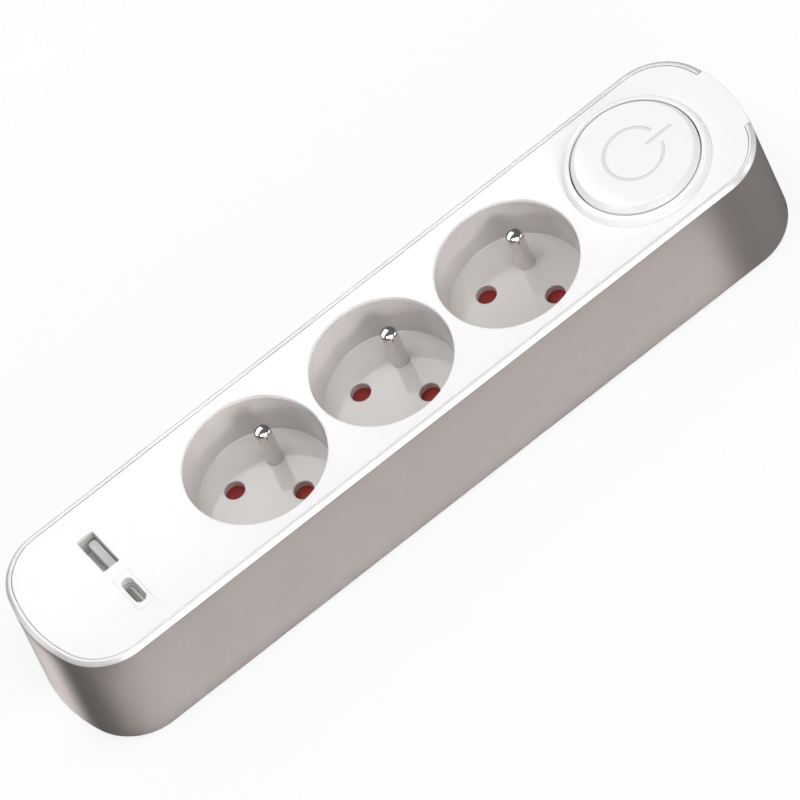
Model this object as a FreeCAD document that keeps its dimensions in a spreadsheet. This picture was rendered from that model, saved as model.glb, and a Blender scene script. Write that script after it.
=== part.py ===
import FreeCAD, Part
import math
import os
import Sketcher
from FreeCAD import Rotation, Vector

# Three-way power strip with earthed round sockets, two charging ports and a large push switch.
# Millimetres, +Z up.  The origin is on the supporting surface, under the middle socket.
# +X runs towards the switch and the cord inlet, -X towards the charging ports.

SIZES = {
    # casing
    "body_length": 235.0,
    "body_width": 50.0,
    "body_height": 37.5,
    "end_radius": 43.5,
    "corner_radius": 16.85,
    "wall": 2.4,
    "base_floor": 2.2,
    "lip": 0.9,
    "rim_chamfer": 1.0,
    "rim_width": 1.75,
    "ledge_width": 1.65,
    "ledge_thickness": 2.4,
    "plate_thickness": 1.6,
    "seam": 0.1,
    "edge_break": 0.2,
    "tab_left": 12.1,
    "tab_right": 10.4,
    # feet and case screws
    "foot_proud": 0.5,
    "foot_seat": 1.0,
    "foot_radius": 5.0,
    "foot_inset": 19.5,
    "foot_spread": 24.0,
    "boss_radius": 3.5,
    "boss_top": 16.0,
    "boss_margin": 7.1,
    "screw_radius": 1.5,
    "screw_reach": 12.0,
    "screw_head_radius": 2.8,
    "screw_head_height": 2.2,
    "screw_head_seat": 6.0,
    "screw_slack": 0.05,
    "clearance": 0.3,
    # sockets
    "socket_pitch": 42.4,
    "well_radius": 19.9,
    "well_depth": 15.5,
    "well_draft": 0.3,
    "cup_wall": 1.1,
    "cup_floor": 2.5,
    "contact_spacing": 19.0,
    "contact_hole_radius": 2.8,
    "earth_offset": 10.0,
    "earth_pin_radius": 2.4,
    "earth_pin_height": 14.0,
    "pin_tail": 3.0,
    "pin_tail_radius": 2.0,
    "pin_shoulder": 0.2,
    "pin_shoulder_rise": 0.3,
    "pin_collar": 1.1,
    # shutters and the guide under each cup
    "shutter_thickness": 1.8,
    "shutter_overlap": 0.6,
    "guide_thickness": 1.8,
    "guide_rim": 1.2,
    "guide_leg_radius": 1.5,
    # contact bars
    "bar_thickness": 0.7,
    "pin_clear": 0.5,
    "bar_bottom": 5.0,
    "clip_half_gap": 2.5,
    "clip_half_length": 3.5,
    "earth_bar_height": 4.0,
    "earth_tab_width": 6.5,
    "earth_tab_thickness": 1.0,
    "lead_radius": 1.2,
    "lead_z": 8.0,
    "lead_y": 5.0,
    # switch
    "button_inset": 31.0,
    "button_radius": 17.6,
    "button_bevel": 1.4,
    "button_rise": 4.0,
    "button_skin": 2.0,
    "button_skirt": 1.6,
    "button_flange": 1.0,
    "button_gap": 0.3,
    "button_travel": 2.0,
    "collar_rise": 2.1,
    "collar_land": 0.5,
    "collar_width": 2.5,
    "bezel_flange": 0.9,
    "hub_radius": 7.0,
    "hub_length": 6.5,
    "symbol_radius": 8.6,
    "symbol_stroke": 0.9,
    "symbol_depth": 0.8,
    "symbol_gap_angle": 36.0,
    "symbol_bar_start": 4.1,
    "symbol_bar_length": 8.4,
    "switch_length": 20.0,
    "switch_width": 16.0,
    "switch_base": 6.7,
    "switch_top": 24.0,
    "plunger_radius": 3.0,
    "plunger_entry": 4.0,
    "spring_radius": 5.4,
    "spring_wire": 0.4,
    "spring_turns": 5,
    # charging ports
    "port_inset": 28.0,
    "usb_a_y": 7.4,
    "usb_c_y": -9.2,
    "window_long": 12.7,
    "window_short": 5.3,
    "shell_sheet": 0.3,
    "usb_a_long": 12.5,
    "usb_a_short": 5.12,
    "tongue_a_thickness": 1.9,
    "tongue_a_offset": 0.9,
    "tongue_a_width": 11.2,
    "usb_c_long": 8.94,
    "usb_c_short": 3.26,
    "usb_c_mouth": 0.16,
    "insert_depth": 2.6,
    "tongue_c_width": 6.7,
    "tongue_c_thickness": 0.7,
    "board_length": 38.0,
    "board_width": 34.0,
    "board_z": 14.0,
    "board_thickness": 1.6,
    "board_screw_x": 15.5,
    "board_screw_y": 13.5,
    "transformer_offset": 12.0,
    "transformer_length": 11.0,
    "transformer_width": 16.0,
    "transformer_height": 13.0,
    "capacitor_offset": 11.5,
    "capacitor_y": 6.0,
    "capacitor_radius": 4.0,
    "capacitor_height": 12.0,
    # cord entry
    "gland_z": 14.0,
    "gland_bore": 4.25,
    "gland_radius": 6.4,
    "gland_flange": 1.6,
    "gland_flange_width": 1.6,
    "clamp_inset": 12.5,
    "clamp_half_spread": 9.0,
    "clamp_width": 6.0,
    "clamp_thickness": 2.5,
}

doc = FreeCAD.newDocument("PowerStrip")
sheet = doc.addObject("Spreadsheet::Sheet", "Sizes")
for row, (alias, value) in enumerate(SIZES.items(), start=1):
    sheet.set(f"A{row}", alias)
    sheet.set(f"B{row}", str(value))
    sheet.setAlias(f"B{row}", alias)
doc.recompute()


class Size:
    """A length that carries its number and the sheet expression that gives it."""

    def __init__(self, number, text):
        self.number = float(number)
        self.text = text

    def __add__(self, other):
        other = as_size(other)
        return Size(self.number + other.number, f"({self.text} + {other.text})")

    def __sub__(self, other):
        other = as_size(other)
        return Size(self.number - other.number, f"({self.text} - {other.text})")

    def __mul__(self, other):
        other = as_size(other)
        return Size(self.number * other.number, f"({self.text} * {other.text})")

    def __truediv__(self, other):
        other = as_size(other)
        return Size(self.number / other.number, f"({self.text} / {other.text})")

    def __neg__(self):
        return Size(-self.number, f"(0 - {self.text})")


def as_size(value):
    return value if isinstance(value, Size) else Size(value, repr(float(value)))


def root(value):
    return Size(math.sqrt(value.number), f"sqrt({value.text})")


class Sheet:
    """Every size of the sheet by its name."""

    def __getattr__(self, alias):
        return Size(SIZES[alias], f"Sizes.{alias}")


s = Sheet()
ZERO = as_size(0)

# heights and insets that several pieces share
half_width = s.body_width / 2
half_length = s.body_length / 2
top = s.body_height
plate_under = top - s.plate_thickness
ledge_under = plate_under - s.ledge_thickness
wall_top = top - s.rim_chamfer
floor_top = s.foot_proud + s.base_floor
plate_inset = s.rim_width + s.seam
tab_centre_y = (s.tab_right - s.tab_left) / 2
tab_width = s.tab_left + s.tab_right

well_floor = top - s.well_depth
cup_under = well_floor - s.cup_floor
cup_radius = s.well_radius + s.cup_wall
shutter_top = cup_under - s.clearance
shutter_under = shutter_top - s.shutter_thickness
guide_top = shutter_under - s.clearance
guide_under = guide_top - s.guide_thickness
diagonal = math.sqrt(0.5)
contact_xy = s.contact_spacing / 2 * diagonal
earth_xy = s.earth_offset * diagonal
shutter_half_width = s.contact_hole_radius + s.shutter_overlap
shutter_half_length = s.contact_spacing / 2 + s.contact_hole_radius + s.shutter_overlap

clip_height = guide_under - s.clearance - s.bar_bottom
earth_bar_top = guide_under - s.bar_thickness - s.seam
earth_bar_bottom = earth_bar_top - s.earth_bar_height
pin_foot = earth_bar_top - s.pin_tail
strip_height = pin_foot - s.pin_clear - s.bar_bottom

button_x = half_length - s.button_inset
bezel_radius = s.button_radius + s.button_gap + s.collar_width
button_top = top + s.button_rise
collar_top = top + s.collar_rise
hub_under = button_top - s.button_skin - s.hub_length
flange_top = ledge_under - s.clearance
port_x = s.port_inset - half_length
transformer_x = port_x - s.transformer_offset
capacitor_x = port_x + s.capacitor_offset
board_top = s.board_z + s.board_thickness
clamp_x = half_length - s.clamp_inset
clamp_under = s.gland_z + s.gland_bore + s.clearance

socket_xs = [s.socket_pitch * step for step in (-1, 0, 1)]
screw_y = half_width - s.boss_margin
screw_spots = [(s.socket_pitch * step, screw_y * side) for step in (-1.5, -0.5, 0.5, 1.5) for side in (-1, 1)]
foot_x = half_length - s.foot_inset
foot_y = s.foot_spread / 2
foot_spots = [(foot_x * end, foot_y * side) for end in (-1, 1) for side in (-1, 1)]
board_spots = [(port_x + s.board_screw_x * end, s.board_screw_y * side) for end in (-1, 1) for side in (-1, 1)]
clamp_spots = [(clamp_x, s.clamp_half_spread * side) for side in (-1, 1)]
switch_spots = [(button_x + s.switch_length * share, ZERO) for share in (-0.35, 0.35)]

nodes = []


def node(item, name):
    """Name a finished piece and put it on the list of pieces to write."""
    item.Label = name
    nodes.append(item)
    return item


def bind(item, prop, size):
    item.setExpression(prop, as_size(size).text)


def place(item, x=0, y=0, z=0):
    for axis, size in zip("xyz", (x, y, z)):
        bind(item, f"Placement.Base.{axis}", size)
    return item


# --- PartDesign helpers ---------------------------------------------------------------------


def new_body(name):
    return doc.addObject("PartDesign::Body", name)


def sketch_on(body, name, level=0, role="XY_Plane"):
    """An empty sketch parallel to one of the body's origin planes, level away from it."""
    sketch = body.newObject("Sketcher::SketchObject", name)
    plane = next(feature for feature in body.Origin.OriginFeatures if feature.Role == role)
    sketch.AttachmentSupport = (plane, [""])
    sketch.MapMode = "FlatFace"
    bind(sketch, "AttachmentOffset.Base.z", level)
    return sketch


def fix(sketch, kind, places, size):
    """Add a dimension and bind it to its expression."""
    size = as_size(size)
    index = sketch.addConstraint(Sketcher.Constraint(kind, *places, size.number))
    sketch.setExpression(f"Constraints[{index}]", size.text)


def fix_point(sketch, geometry, end, x, y):
    """Hold one point of the sketch at (x, y), on an axis where a coordinate is nought."""
    for size, kind, axis in ((as_size(x), "DistanceX", -2), (as_size(y), "DistanceY", -1)):
        if size.text == ZERO.text:
            sketch.addConstraint(Sketcher.Constraint("PointOnObject", geometry, end, axis))
        else:
            fix(sketch, kind, (geometry, end), size)


def add_polygon(sketch, points):
    """A closed outline of straight edges through points, each fixed by its own two sizes."""
    points = [(as_size(x), as_size(y)) for x, y in points]
    corners = [Vector(x.number, y.number, 0) for x, y in points]
    first = sketch.GeometryCount
    for index, corner in enumerate(corners):
        sketch.addGeometry(Part.LineSegment(corner, corners[(index + 1) % len(corners)]), False)
    for index, (x, y) in enumerate(points):
        following = first + (index + 1) % len(points)
        sketch.addConstraint(Sketcher.Constraint("Coincident", first + index, 2, following, 1))
        fix_point(sketch, first + index, 1, x, y)


def add_rectangle(sketch, x, y, length, width):
    x0, x1 = as_size(x) - length / 2, as_size(x) + length / 2
    y0, y1 = as_size(y) - width / 2, as_size(y) + width / 2
    add_polygon(sketch, [(x0, y0), (x1, y0), (x1, y1), (x0, y1)])


def add_circle(sketch, x, y, radius):
    x, y, radius = as_size(x), as_size(y), as_size(radius)
    index = sketch.addGeometry(Part.Circle(Vector(x.number, y.number, 0), Vector(0, 0, 1), radius.number), False)
    fix_point(sketch, index, 3, x, y)
    fix(sketch, "Radius", (index,), radius)


def add_arc(sketch, x, y, radius, start, end):
    """An arc with its centre and radius fixed, from the start angle to the end angle in degrees."""
    x, y, radius = as_size(x), as_size(y), as_size(radius)
    circle = Part.Circle(Vector(x.number, y.number, 0), Vector(0, 0, 1), radius.number)
    arc = Part.ArcOfCircle(circle, math.radians(start), math.radians(end))
    return sketch.addGeometry(arc, False)


def add_outline(sketch, inset):
    """The casing's plan outline, inset all round: straight sides, bowed ends, round corners."""
    inset = as_size(inset)
    bow = s.end_radius - inset
    corner = s.corner_radius - inset
    side = half_width - inset
    bow_centre = half_length - s.end_radius
    corner_y = half_width - s.corner_radius
    corner_x = bow_centre + root((s.end_radius - s.corner_radius) * (s.end_radius - s.corner_radius)
                                 - corner_y * corner_y)
    cx, cy, bx = corner_x.number, corner_y.number, bow_centre.number
    turn = math.degrees(math.atan2(cy, cx - bx))
    front = sketch.addGeometry(Part.LineSegment(Vector(-cx, -side.number, 0), Vector(cx, -side.number, 0)), False)
    ring = [
        add_arc(sketch, corner_x, -corner_y, corner, -90, -turn),
        add_arc(sketch, bow_centre, ZERO, bow, -turn, turn),
        add_arc(sketch, corner_x, corner_y, corner, turn, 90),
    ]
    back = sketch.addGeometry(Part.LineSegment(Vector(cx, side.number, 0), Vector(-cx, side.number, 0)), False)
    ring += [
        add_arc(sketch, -corner_x, corner_y, corner, 90, 180 - turn),
        add_arc(sketch, -bow_centre, ZERO, bow, 180 - turn, 180 + turn),
        add_arc(sketch, -corner_x, -corner_y, corner, 180 + turn, 270),
    ]
    loop = [front] + ring[:3] + [back] + ring[3:]
    for index, piece in enumerate(loop):
        sketch.addConstraint(Sketcher.Constraint("Tangent", piece, 2, loop[(index + 1) % len(loop)], 1))
    right_low, right_bow, right_high, left_high, left_bow, left_low = ring
    for arc in (right_high, left_high, left_low):
        sketch.addConstraint(Sketcher.Constraint("Equal", right_low, arc))
    sketch.addConstraint(Sketcher.Constraint("Equal", right_bow, left_bow))
    fix(sketch, "Radius", (right_low,), corner)
    fix(sketch, "Radius", (right_bow,), bow)
    fix_point(sketch, right_bow, 3, bow_centre, ZERO)
    fix_point(sketch, left_bow, 3, -bow_centre, ZERO)
    fix(sketch, "DistanceY", (front, 1), -side)
    fix(sketch, "DistanceY", (back, 1), side)


def outline_sketch(body, name, level, inset):
    sketch = sketch_on(body, name, level)
    add_outline(sketch, inset)
    return sketch


def circles_sketch(body, name, level, spots, radius):
    sketch = sketch_on(body, name, level)
    for x, y in spots:
        add_circle(sketch, x, y, radius)
    return sketch


def rectangle_sketch(body, name, level, x, y, length, width):
    sketch = sketch_on(body, name, level)
    add_rectangle(sketch, x, y, length, width)
    return sketch


def pad(body, name, sketch, length, down=False):
    feature = body.newObject("PartDesign::Pad", name)
    feature.Profile = sketch
    feature.Reversed = down
    bind(feature, "Length", length)
    return feature


def pocket(body, name, sketch, length, up=False):
    """Cut below the sketch, or above it."""
    feature = body.newObject("PartDesign::Pocket", name)
    feature.Profile = sketch
    feature.Reversed = up
    bind(feature, "Length", length)
    return feature


def revolve(body, name, points):
    """Turn an outline of (radius, height) points about the body's Z axis."""
    sketch = sketch_on(body, name + "_outline", 0, "XZ_Plane")
    add_polygon(sketch, points)
    feature = body.newObject("PartDesign::Revolution", name)
    feature.Profile = sketch
    feature.ReferenceAxis = (sketch, ["V_Axis"])
    feature.Angle = 360
    return feature


def edges_at(feature, level, radius=None):
    """Names of the feature's edges that lie flat at a height, or only its circles of a radius."""
    names = []
    for index, edge in enumerate(feature.Shape.Edges, start=1):
        flat = all(abs(vertex.Point.z - level.number) < 1e-4 for vertex in edge.Vertexes)
        if not flat:
            continue
        round_edge = isinstance(edge.Curve, Part.Circle)
        if radius is None or (round_edge and abs(edge.Curve.Radius - radius.number) < 1e-4):
            names.append(f"Edge{index}")
    return names


def soften(body, kind, name, level, size, radius=None):
    """A chamfer or fillet on the edges at a height of what the body holds so far."""
    doc.recompute()
    base = body.Tip
    feature = body.newObject(f"PartDesign::{kind}", name)
    feature.Base = (base, edges_at(base, as_size(level), radius))
    bind(feature, "Size" if kind == "Chamfer" else "Radius", size)
    return feature


# --- Part helpers ---------------------------------------------------------------------------


def box(name, x, y, z, length, width, height):
    """A block centred on (x, y) that stands on z."""
    item = doc.addObject("Part::Box", name)
    for prop, size in (("Length", length), ("Width", width), ("Height", height)):
        bind(item, prop, size)
    return place(item, as_size(x) - as_size(length) / 2, as_size(y) - as_size(width) / 2, z)


def cylinder(name, x, y, z, radius, height):
    item = doc.addObject("Part::Cylinder", name)
    bind(item, "Radius", radius)
    bind(item, "Height", height)
    return place(item, x, y, z)


def lying_cylinder(name, x, y, z, radius, length):
    """A cylinder along +X that starts at x."""
    item = cylinder(name, x, y, z, radius, length)
    item.Placement.Rotation = Rotation(Vector(0, 1, 0), 90)
    return item


def fuse(name, pieces):
    item = doc.addObject("Part::MultiFuse", name)
    item.Shapes = pieces
    return item


def group(name, pieces):
    """Equal pieces that share one node as separate solids."""
    item = doc.addObject("Part::Compound", name)
    item.Links = pieces
    return item


def cut(name, base, tool):
    item = doc.addObject("Part::Cut", name)
    item.Base = base
    item.Tool = tool
    return item


def obround(name, x, y, z, long_size, short_size, height):
    """An upright block with half-round ends, its long way along Y."""
    reach = (long_size - short_size) / 2
    middle = box(name + "_middle", x, y, z, short_size, reach * 2, height)
    ends = [cylinder(f"{name}_end_{side}", x, y + reach * side, z, short_size / 2, height) for side in (-1, 1)]
    return fuse(name, [middle] + ends)


def screw(name, x, y, seat, reach, head_up):
    """A pan-head screw whose head bears on seat and whose shank runs reach the other way."""
    head_z = seat if head_up else seat - s.screw_head_height
    shank_z = seat - reach if head_up else seat
    head = cylinder(name + "_head", x, y, head_z, s.screw_head_radius, s.screw_head_height)
    shank = cylinder(name + "_shank", x, y, shank_z, s.screw_radius, reach)
    return fuse(name, [head, shank])


# --- casing ---------------------------------------------------------------------------------


def build_base_housing():
    """The grey tub with its bosses, ribs, saddle and cord hole."""
    body = new_body("base_housing")
    pad(body, "base_block", outline_sketch(body, "base_outer", s.foot_proud, 0), wall_top - s.foot_proud)
    pocket(body, "base_cavity", outline_sketch(body, "base_inner", wall_top, s.wall), wall_top - floor_top)
    pocket(body, "base_rabbet", outline_sketch(body, "base_lap", wall_top, s.lip), wall_top - ledge_under)
    notch = rectangle_sketch(body, "base_notch_outline", wall_top, half_length, tab_centre_y,
                             s.wall * 4, tab_width)
    pocket(body, "base_notch", notch, wall_top - plate_under)

    root_level = s.foot_proud + s.base_floor / 2
    stands = (
        ("case_bosses", screw_spots, s.boss_radius, s.boss_top),
        ("board_stands", board_spots, s.boss_radius, s.board_z),
        ("switch_stands", switch_spots, s.boss_radius, s.switch_base),
        ("clamp_stands", clamp_spots, s.boss_radius, clamp_under),
    )
    for name, spots, radius, height in stands:
        pad(body, name, circles_sketch(body, name + "_plan", root_level, spots, radius), height - root_level)
    for index, x in enumerate(socket_xs):
        for side in (-1, 1):
            rib_x = x + (well_rib_offset * side)
            sketch = rectangle_sketch(body, f"rib_plan_{index}_{side + 1}", root_level, rib_x, 0,
                                      s.bar_thickness * 2, half_width * 2 - s.wall)
            pad(body, f"rib_{index}_{side + 1}", sketch, s.bar_bottom - root_level)
    saddle = rectangle_sketch(body, "saddle_plan", root_level, clamp_x, 0, s.clamp_width - 1, s.gland_bore * 2)
    pad(body, "saddle", saddle, s.gland_z - s.gland_bore - root_level)

    deep = s.boss_top - s.foot_proud
    pocket(body, "screw_holes", circles_sketch(body, "screw_holes_plan", s.foot_proud, screw_spots,
                                               s.screw_radius + s.screw_slack * 4), deep, up=True)
    pocket(body, "screw_wells", circles_sketch(body, "screw_wells_plan", s.foot_proud, screw_spots,
                                               s.screw_head_radius + s.clearance),
           s.screw_head_seat - s.foot_proud, up=True)
    pocket(body, "foot_seats", circles_sketch(body, "foot_seats_plan", s.foot_proud, foot_spots,
                                              s.foot_radius), s.foot_seat, up=True)
    for name, spots, level in (("board_pilots", board_spots, s.board_z), ("clamp_pilots", clamp_spots, clamp_under)):
        pocket(body, name, circles_sketch(body, name + "_plan", level, spots, s.screw_radius + s.screw_slack),
               s.screw_reach / 2 + 1)
    cord_hole = sketch_on(body, "cord_hole_plan", half_length + 1, "YZ_Plane")
    add_circle(cord_hole, 0, s.gland_z, s.gland_radius + s.seam)
    pocket(body, "cord_hole", cord_hole, s.wall * 3)
    return node(body, "base_housing")


def build_rim_frame():
    """The white frame that lies on the tub's wall and carries the cover plate on a ledge."""
    body = new_body("rim_frame")
    pad(body, "rim_cap", outline_sketch(body, "rim_outer", wall_top, 0), s.rim_chamfer)
    soften(body, "Chamfer", "rim_slope", top, s.rim_chamfer - s.edge_break / 4)
    pad(body, "rim_skirt", outline_sketch(body, "rim_lap", ledge_under, s.lip + s.seam), wall_top - ledge_under)
    pocket(body, "rim_plate_seat", outline_sketch(body, "rim_mouth", top, s.rim_width), s.plate_thickness)
    pocket(body, "rim_opening", outline_sketch(body, "rim_inner", plate_under, s.rim_width + s.ledge_width),
           s.ledge_thickness)
    notch = rectangle_sketch(body, "rim_notch_outline", top, half_length, tab_centre_y, s.wall * 4, tab_width)
    pocket(body, "rim_notch", notch, s.plate_thickness)
    return node(body, "rim_frame")


def build_top_cover():
    """The white cover plate with its tab, sockets' holes, port windows and screw posts."""
    body = new_body("top_cover")
    pad(body, "plate", outline_sketch(body, "plate_outline", plate_under, plate_inset), s.plate_thickness)
    tab = sketch_on(body, "tab_outline", plate_under)
    bow = s.end_radius - s.seam
    bow_centre = half_length - s.end_radius
    low, high = s.seam - s.tab_left, s.tab_right - s.seam
    root_x = half_length - s.wall * 3
    tip_low = bow_centre + root(bow * bow - low * low)
    tip_high = bow_centre + root(bow * bow - high * high)
    corners = [(root_x, high), (root_x, low), (tip_low, low)]
    path = [Vector(x.number, y.number, 0) for x, y in [(tip_high, high)] + corners]
    for start, end in zip(path, path[1:]):
        tab.addGeometry(Part.LineSegment(start, end), False)
    add_arc(tab, bow_centre, ZERO, bow, math.degrees(math.asin(low.number / bow.number)),
            math.degrees(math.asin(high.number / bow.number)))
    tab.addConstraint(Sketcher.Constraint("Coincident", 0, 2, 1, 1))
    tab.addConstraint(Sketcher.Constraint("Coincident", 1, 2, 2, 1))
    tab.addConstraint(Sketcher.Constraint("Coincident", 2, 2, 3, 1))
    tab.addConstraint(Sketcher.Constraint("Coincident", 3, 2, 0, 1))
    fix_point(tab, 1, 1, root_x, high)
    fix_point(tab, 1, 2, root_x, low)
    fix(tab, "DistanceY", (2, 2), low)
    fix(tab, "DistanceY", (0, 1), high)
    fix_point(tab, 3, 3, bow_centre, 0)
    fix(tab, "Radius", (3,), bow)
    pad(body, "plate_tab", tab, s.plate_thickness)
    soften(body, "Chamfer", "plate_edge", top, s.edge_break)
    posts = circles_sketch(body, "posts_plan", plate_under, screw_spots, s.boss_radius)
    pad(body, "screw_posts", posts, plate_under - s.boss_top, down=True)
    pocket(body, "post_pilots", circles_sketch(body, "post_pilots_plan", s.boss_top, screw_spots,
                                               s.screw_radius + s.screw_slack), s.screw_reach, up=True)
    holes = sketch_on(body, "round_holes_plan", top)
    for x in socket_xs:
        add_circle(holes, x, 0, s.well_radius)
    add_circle(holes, button_x, 0, bezel_radius + s.seam)
    pocket(body, "round_holes", holes, s.plate_thickness)
    windows = sketch_on(body, "windows_plan", top)
    for y in (s.usb_a_y, s.usb_c_y):
        add_rectangle(windows, port_x, y, s.window_short, s.window_long)
    pocket(body, "windows", windows, s.plate_thickness)
    soften(body, "Fillet", "well_lips", top, s.edge_break * 2, s.well_radius)
    return node(body, "top_cover")


def build_feet():
    height = s.foot_proud + s.foot_seat
    feet = [cylinder(f"foot_{index}", x, y, 0, s.foot_radius - s.seam, height)
            for index, (x, y) in enumerate(foot_spots)]
    return node(group("rubber_feet", feet), "rubber_feet")


def build_screws():
    reach = s.boss_top - s.screw_head_seat + s.screw_reach - 1
    case = [screw(f"case_screw_{index}", x, y, s.screw_head_seat, reach, head_up=False)
            for index, (x, y) in enumerate(screw_spots)]
    board = [screw(f"board_screw_{index}", x, y, board_top, s.board_thickness + s.screw_reach / 2, head_up=True)
             for index, (x, y) in enumerate(board_spots)]
    clamp = [screw(f"clamp_screw_{index}", x, y, clamp_under + s.clamp_thickness,
                   s.clamp_thickness + s.screw_reach / 2, head_up=True)
             for index, (x, y) in enumerate(clamp_spots)]
    for name, screws in (("case_screws", case), ("board_screws", board), ("clamp_screws", clamp)):
        node(group(name, screws), name)


# --- sockets --------------------------------------------------------------------------------

well_rib_offset = (cup_radius - s.guide_rim) * 0.75


def build_socket_cup(number, x):
    """One round well: wall, floor, two contact holes and the hole for the earth pin."""
    body = new_body(f"socket_cup_{number}")
    low_radius = s.well_radius - s.well_draft
    revolve(body, f"cup_shell_{number}", [
        (0, cup_under), (cup_radius, cup_under), (cup_radius, plate_under),
        (s.well_radius, plate_under), (low_radius, well_floor), (0, well_floor)])
    soften(body, "Fillet", f"cup_floor_round_{number}", well_floor, s.edge_break * 4)
    contacts = [(contact_xy, -contact_xy), (-contact_xy, contact_xy)]
    pocket(body, f"contact_holes_{number}", circles_sketch(body, f"contact_plan_{number}", well_floor, contacts,
                                                           s.contact_hole_radius), s.cup_floor)
    pocket(body, f"pin_hole_{number}", circles_sketch(body, f"pin_plan_{number}", well_floor,
                                                      [(earth_xy, earth_xy)],
                                                      s.earth_pin_radius + s.pin_shoulder + s.screw_slack),
           s.cup_floor)
    place(body, x)
    return node(body, f"socket_cup_{number}")


def build_earth_pin(number, x):
    """The domed earth pin: a tail to the earth bar, a collar on the guide, a shoulder in the cup's floor."""
    body = new_body(f"earth_pin_{number}")
    tip = well_floor + s.earth_pin_height
    collar = s.earth_pin_radius + s.pin_collar
    shoulder = s.earth_pin_radius + s.pin_shoulder
    shoulder_top = well_floor + s.pin_shoulder_rise
    revolve(body, f"pin_{number}", [
        (0, pin_foot), (s.pin_tail_radius, pin_foot), (s.pin_tail_radius, guide_top),
        (collar, guide_top), (collar, cup_under), (shoulder, cup_under), (shoulder, shoulder_top),
        (s.earth_pin_radius, shoulder_top), (s.earth_pin_radius, tip - s.earth_pin_radius * 0.5),
        (s.earth_pin_radius * 0.8, tip - s.earth_pin_radius * 0.18),
        (s.earth_pin_radius * 0.4, tip - s.earth_pin_radius * 0.03), (0, tip)])
    place(body, x + earth_xy, earth_xy)
    return node(body, f"earth_pin_{number}")


def build_shutter(number, x):
    """The sprung plate that closes both contact holes from below."""
    plate = box(f"shutter_plate_{number}", 0, 0, shutter_under, shutter_half_width * 2,
                shutter_half_length * 2, s.shutter_thickness)
    body = doc.addObject("Part::Chamfer", f"shutter_{number}")
    body.Base = plate
    doc.recompute()
    upright = [index for index, edge in enumerate(plate.Shape.Edges, start=1)
               if abs(edge.Vertexes[0].Z - edge.Vertexes[-1].Z) > 1]
    body.Edges = [(index, SIZES["shutter_overlap"], SIZES["shutter_overlap"]) for index in upright]
    body.Placement.Rotation = Rotation(Vector(0, 0, 1), 45)
    place(body, x)
    return node(body, f"shutter_{number}")


def build_shutter_guide(number, x):
    """The stool under a cup: the shutter slides on its deck, inside its rim, on four legs."""
    deck_radius = cup_radius - s.guide_rim / 2
    deck = cylinder(f"deck_{number}", 0, 0, guide_under, deck_radius, cup_under - guide_under)
    legs = []
    spread = deck_radius - s.guide_leg_radius - s.clearance
    for index, (dx, dy) in enumerate(((1, 0), (0, 1), (-1, 0), (0, -1))):
        legs.append(cylinder(f"leg_{number}_{index}", spread * dx, spread * dy, floor_top,
                             s.guide_leg_radius, guide_top - floor_top))
    solid = fuse(f"stool_{number}", [deck] + legs)
    chamber = cylinder(f"chamber_{number}", 0, 0, guide_top, deck_radius - s.guide_rim, s.well_depth)
    holes = [cylinder(f"drop_{number}_{side + 1}", contact_xy * side, contact_xy * -side, floor_top,
                      s.contact_hole_radius + s.clearance, s.well_depth) for side in (-1, 1)]
    holes.append(cylinder(f"shank_{number}", earth_xy, earth_xy, floor_top,
                          s.pin_tail_radius + s.screw_slack, s.well_depth))
    item = cut(f"shutter_guide_{number}", solid, fuse(f"guide_hollows_{number}", [chamber] + holes))
    place(item, x)
    return node(item, f"shutter_guide_{number}")


def build_contact_bar(name, side):
    """A pole's bar: one strip past three contacts, each a box clip round the plug's pin."""
    far = s.clip_half_gap + s.bar_thickness / 2
    pieces = []
    for index, x in enumerate(socket_xs):
        clip_x = x - contact_xy * side
        inner = box(f"{name}_blade_{index}", clip_x, contact_xy * side - far * side, s.bar_bottom,
                    s.clip_half_length * 2, s.bar_thickness, clip_height)
        outer = box(f"{name}_back_{index}", clip_x, contact_xy * side + far * side, s.bar_bottom,
                    s.clip_half_length * 2, s.bar_thickness, clip_height)
        web = box(f"{name}_web_{index}", clip_x - s.clip_half_length * side, contact_xy * side, s.bar_bottom,
                  s.bar_thickness, far * 2 + s.bar_thickness, clip_height)
        pieces += [inner, outer, web]
    strip_length = s.socket_pitch * 2 + s.clip_half_length * 8
    strip = box(f"{name}_strip", 0, contact_xy * side + far * side, s.bar_bottom,
                strip_length, s.bar_thickness, strip_height)
    return node(fuse(name, pieces + [strip]), name)


def build_earth_bar():
    """The earth strip with a tab riveted under each earth pin."""
    strip_y = earth_xy + s.earth_tab_width
    strip = box("earth_strip", 0, strip_y, earth_bar_bottom, s.socket_pitch * 2 + s.earth_offset * 4,
                s.bar_thickness, s.earth_bar_height)
    tabs = []
    holes = []
    tab_z = earth_bar_top - s.earth_tab_thickness
    for index, x in enumerate(socket_xs):
        reach = s.earth_tab_width + s.earth_pin_radius + s.pin_collar
        tabs.append(box(f"earth_tab_{index}", x + earth_xy, strip_y - reach / 2, tab_z, s.earth_tab_width,
                        reach, s.earth_tab_thickness))
        holes.append(cylinder(f"earth_eye_{index}", x + earth_xy, earth_xy, s.bar_bottom,
                              s.pin_tail_radius + s.screw_slack, s.well_depth))
    solid = fuse("earth_bar_solid", [strip] + tabs)
    return node(cut("earth_bar", solid, group("earth_eyes", holes)), "earth_bar")


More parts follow.
